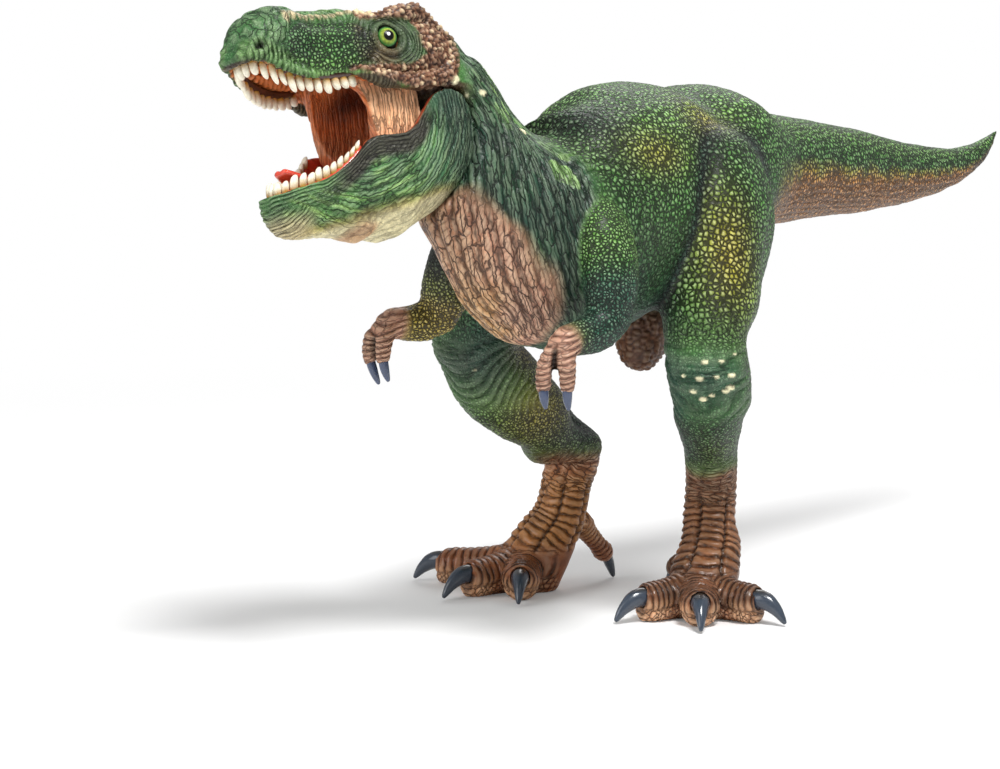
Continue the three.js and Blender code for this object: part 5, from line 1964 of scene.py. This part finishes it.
@dataclass
class ToothRow:
    """A row of blunt ivory pegs in a strip of gum, following the arch of a jaw."""

    node: str
    body: str
    arch: tuple[Point, ...]  # L, F and U of one half, from the corner of the mouth to the middle
    count: int
    up: int
    height_mm: float
    # A tooth's half width, as a share of its full one, at shares of its height.
    profile: tuple[tuple[float, float], ...] = (
        (-0.1, 0.82), (0.12, 0.96), (0.4, 1.04), (0.66, 1.0), (0.84, 0.86), (0.95, 0.6), (1.0, 0.2),
    )
    half_width_mm: float = 1.0
    gum_mm: float = 0.95

    def line(self) -> Limb:
        """Mirror the half arch.

        Returns:
            The whole arch, from one corner of the mouth to the other.
        """
        half = [(*point, 1.0, 1.0, 1.0) for point in self.arch]
        other = [(-l, f, u, 1.0, 1.0, 1.0) for l, f, u in reversed(self.arch[:-1])]
        return Limb(tuple(half + other), samples=400)

    def tooth(self, at: Array, along: Array, tall: float, width: float, lean: float) -> bpy.types.Object:
        """Model one tooth.

        Args:
            at: Where its root is, as L, F and U.
            along: The direction of the row there.
            tall: Its height in millimetres.
            width: Its half width along the row.
            lean: How far its tip leans along the row.

        Returns:
            The tooth.
        """
        across = square_to(along)
        rings = []
        for share, size in self.profile:
            middle = at + np.array([0, -0.5 * share**2, self.up * tall * share]) + along * lean * share**2
            rings.append(hoop(middle, along * width * size, across * 0.85 * width * size, 10))
        piece = ring_skin(rings, "tooth")
        alone(piece)
        finish_modifier(piece, "SUBSURF", levels=1, render_levels=1)
        base, tip = HEAD.world(np.array([at, at + np.array([0, 0, self.up * tall])]))
        share = (coordinates(piece) - base) @ (tip - base) / tall**2
        keep(piece, "root", np.clip(1 - 1.3 * share, 0, 1))
        return piece

    def build(self, finish: bpy.types.Material, gum_finish: bpy.types.Material) -> bpy.types.Object:
        """Model the row.

        Args:
            finish: The ivory paint.
            gum_finish: The gum's paint.

        Returns:
            The row as one piece.
        """
        dense = self.line().dense()[:, :3]
        length = np.concatenate([[0], np.cumsum(np.linalg.norm(np.diff(dense, axis=0), axis=1))])
        rings = []
        for spot, way in zip(dense[::10], np.gradient(dense, axis=0)[::10]):
            middle = spot - np.array([0, 0, self.up * 0.35])
            rings.append(hoop(middle, square_to(way) * self.gum_mm, np.array([0, 0, self.gum_mm]), 8))
        gum = ring_skin(rings, "gum")
        keep(gum, "root", np.ones(len(gum.data.vertices)))
        gum.data.materials.append(gum_finish)
        pieces = [gum]
        for i in range(self.count):
            share = (i + 0.5) / self.count
            at, ahead = (
                np.array([np.interp(share * length[-1] + step, length, dense[:, k]) for k in range(3)])
                for step in (0, 0.5)
            )
            along = (ahead - at) / max(np.linalg.norm(ahead - at), 1e-6)
            luck = scatter(np.array(i), np.array(self.count), np.array(3), 5)
            tall = self.height_mm * (1 - 0.35 * abs(2 * share - 1) ** 2) * (0.7 + 0.24 * float(luck))
            width = self.half_width_mm * (0.9 + 0.14 * math.sin(3.1 * i))
            piece = self.tooth(at, along, tall, width, 0.25 * math.sin(5.3 * i))
            piece.data.materials.append(finish)
            pieces.append(piece)
        row = join(pieces, f"{self.node}_row")
        settle(row, self.body, "tooth_ivory", self.node)
        return row


UPPER_ARCH = (
    (9.7, 21.5, 9.3), (9, 26, 8.9), (8.1, 30, 9), (7.1, 33.5, 9.8), (6, 36.7, 11.2),
    (4.6, 39.2, 13.1), (2.6, 41.1, 14.1), (0, 41.9, 14.2),
)
LOWER_ARCH = (
    (8.7, 22.4, -5.6), (7.9, 25.5, -8.3), (6.9, 29, -10.6), (5.9, 32, -11.8), (4.9, 34.8, -12.5),
    (3.6, 37, -12.9), (1.9, 38.3, -13.3), (0, 38.8, -13.4),
)


@dataclass
class Claws:
    """The glossy slate claws of the feet and hands."""

    finish: GlossFinish = GlossFinish("gloss_slate_paint", Paint.SLATE, Paint.CHARCOAL, roughness=0.22)
    hand_finish: GlossFinish = GlossFinish("gloss_horn_paint", Paint.HORN, Paint.CHARCOAL, roughness=0.24)

    def build(self) -> list[bpy.types.Object]:
        """Round off each claw from its CAD node and dress it.

        Returns:
            The claws.
        """
        foot, hand = self.finish.build(), self.hand_finish.build()
        claws = []
        for node in CLAWS:
            piece = cast(node, f"{node}_horn")
            swell(piece, 0.22)
            finish_modifier(piece, "SUBSURF", levels=2, render_levels=2)
            points = coordinates(piece)
            points[:, 2] = np.maximum(points[:, 2], 0.0)
            piece.data.vertices.foreach_set("co", (points * MM).ravel())
            low, high = points[:, 2].min(), points[:, 2].max()
            keep(piece, "root", ease((points[:, 2] - low) / (high - low), 0.75, 1.1))
            piece.data.materials.append(hand if "hand" in node else foot)
            settle(piece, "figure", "claw_gloss", node)
            claws.append(piece)
        return claws


@dataclass
class Tongue:
    """The short pointed tongue, red and wet."""

    # The back of the tongue darkens to the throat's colour: painted shade deep in the mouth.
    finish: GlossFinish = GlossFinish("gloss_red_paint", Paint.GUM, Paint.THROAT, 0.16, streak_mm=0.6)

    def build(self) -> bpy.types.Object:
        """Round off the tongue and groove it down its middle.

        Returns:
            The tongue.
        """
        piece = cast("tongue", "tongue_flesh")
        finish_modifier(piece, "SUBSURF", levels=2, render_levels=2)
        skin = Skin(piece)
        local = HEAD.local(skin.points)
        top = ease(skin.normals() @ HEAD.matrix()[:, 2], 0.2, 0.8)
        local[:, 2] -= 0.5 * top * bell(local[:, 0], 0.7)
        skin.points = HEAD.world(local)
        skin.write()
        keep(piece, "root", ease(local[:, 1], 27, 22))
        piece.data.materials.append(self.finish.build())
        settle(piece, "jaw", "tongue_gloss", "tongue")
        return piece


@dataclass
class Eyes:
    """Two painted eyes with a domed front."""

    at: Point = (10.6, 13.0, 16.0)
    radius_mm: float = 2.72

    def build(self) -> list[bpy.types.Object]:
        """Model both eyes.

        Returns:
            The left and the right eye.
        """
        eyes = []
        for node, sign in (("left_eye", 1), ("right_eye", -1)):
            left, front, up = self.at
            places = (sign * left, front, up), (sign * (left + 1), front + 0.32, up + 0.1)
            centre, ahead = HEAD.world(np.array(places))
            gaze = Vector(ahead - centre).normalized()
            bpy.ops.object.select_all(action="DESELECT")
            bpy.ops.mesh.primitive_uv_sphere_add(segments=48, ring_count=32, radius=self.radius_mm * MM)
            piece = bpy.context.object
            piece.name = f"{node}_ball"
            piece.data.transform(gaze.to_track_quat("Z", "Y").to_matrix().to_4x4())
            points = coordinates(piece)
            facing = points @ np.array(gaze) / self.radius_mm
            points *= (1 + 0.09 * ease(facing, 0.72, 0.98))[:, None]
            piece.data.vertices.foreach_set("co", ((points + centre) * MM).ravel())
            finish = EyeFinish(f"gloss_eye_paint_{sign}", tuple(centre), tuple(gaze))
            piece.data.materials.append(finish.build())
            settle(piece, "figure", "eye_gloss", node)
            eyes.append(piece)
        return eyes


# Studio


@dataclass
class Studio:
    """Camera, lights and a pale floor."""

    camera_at: Point = (298.0, -633.3, 130.0)
    turn: float = math.radians(28)
    tilt: float = math.radians(6.75)
    lens: float = 108.0
    aim: Point = (0, -0.03, 0.07)  # where the lamps point, in metres
    # Each lamp's name, its place and its side in metres, and its power in watts.
    lamps: tuple[tuple[str, Point, float, float], ...] = (
        ("key", (0.35, -0.35, 0.95), 0.3, 11.0), ("fill", (-0.5, -0.8, 0.5), 0.6, 3.4),
        ("rim", (-0.2, 0.7, 0.7), 0.5, 2.0),
    )

    def camera(self) -> None:
        """Set up the camera at the photograph's place and angle."""
        data = bpy.data.cameras.new("camera")
        data.lens = self.lens
        data.sensor_width = 36
        data.clip_end = 10
        camera = bpy.data.objects.new("camera", data)
        camera.location = Vector(self.camera_at) * MM
        camera.rotation_euler = (math.pi / 2 - self.tilt, 0, self.turn)
        bpy.context.scene.collection.objects.link(camera)
        bpy.context.scene.camera = camera

    def lights(self) -> None:
        """Add the soft square lamps."""
        for name, at, size, power in self.lamps:
            data = bpy.data.lights.new(name, "AREA")
            data.size = size
            data.energy = power
            lamp = bpy.data.objects.new(name, data)
            lamp.location = at
            lamp.rotation_euler = (Vector(self.aim) - Vector(at)).to_track_quat("-Z", "Y").to_euler()
            bpy.context.scene.collection.objects.link(lamp)

    def floor(self) -> None:
        """Lay a wide white floor that fades into the white background."""
        bpy.ops.object.select_all(action="DESELECT")
        bpy.ops.mesh.primitive_plane_add(size=12)
        floor = bpy.context.object
        floor.name = "floor"
        material, put = fresh("white_card")
        seen = put("LightPath").outputs["Is Camera Ray"]
        away = put("VectorMath", {0: put("TexCoord").outputs["Object"]}, operation="LENGTH")
        fade = put("MapRange", {0: away, 1: 0.12, 2: 0.5, 3: 0.12, 4: 1.0}, interpolation_type="SMOOTHSTEP")
        share = put("Math", {0: seen, 1: fade}, **TIMES)
        card = put("BsdfDiffuse", {"Color": linear("#f2f2f2")})
        lit = put("Emission", {"Color": (1, 1, 1, 1), "Strength": 1.0})
        put("OutputMaterial", {"Surface": put("MixShader", {0: share, 1: card, 2: lit})})
        floor.data.materials.append(material)

    def world(self) -> None:
        """Light from all round, and show white where the camera looks past the floor."""
        world = bpy.data.worlds.new("white_room")
        bpy.context.scene.world = world
        world.use_nodes = True
        world.node_tree.nodes.clear()
        put = partial(add, world.node_tree)
        path = put("LightPath").outputs
        seen = put("Math", {0: path["Is Camera Ray"], 1: path["Is Transmission Ray"]}, **MOST)
        strength = put("Mix", {0: seen, 2: 0.36, 3: 1.0})
        light = put("Background", {"Color": (1, 1, 1, 1), "Strength": strength})
        put("OutputWorld", {"Surface": light})

    def build(self) -> None:
        """Build the studio."""
        self.camera()
        self.floor()
        self.world()
        self.lights()
        bpy.context.scene.view_settings.view_transform = "Standard"


def main() -> None:
    """Build the figure's looks piece by piece."""
    logging.basicConfig(level=logging.INFO, format="%(name)s: %(message)s")
    Studio().build()
    Hide().build()
    LowerJaw().build()
    Mouth().build()
    ivory = GlossFinish("ivory_tooth_paint", Paint.TOOTH, Paint.ROOT, roughness=0.28, coat=0.25).build()
    gum = GlossFinish("gum_paint", Paint.PALATE, Paint.UMBER, roughness=0.35).build()
    red_gum = GlossFinish("red_gum_paint", Paint.GUM, Paint.GUM, roughness=0.3).build()
    ToothRow("upper_teeth", "figure", UPPER_ARCH, 26, -1, 4.6).build(ivory, gum)
    ToothRow("lower_teeth", "jaw", LOWER_ARCH, 24, 1, 3.7).build(ivory, red_gum)
    Tongue().build()
    Claws().build()
    Eyes().build()
    pin = frame["nodes"]["jaw_pin"]
    pin.data.materials.clear()
    pin.data.materials.append(SteelFinish().build())


if __name__ == "__main__":
    main()
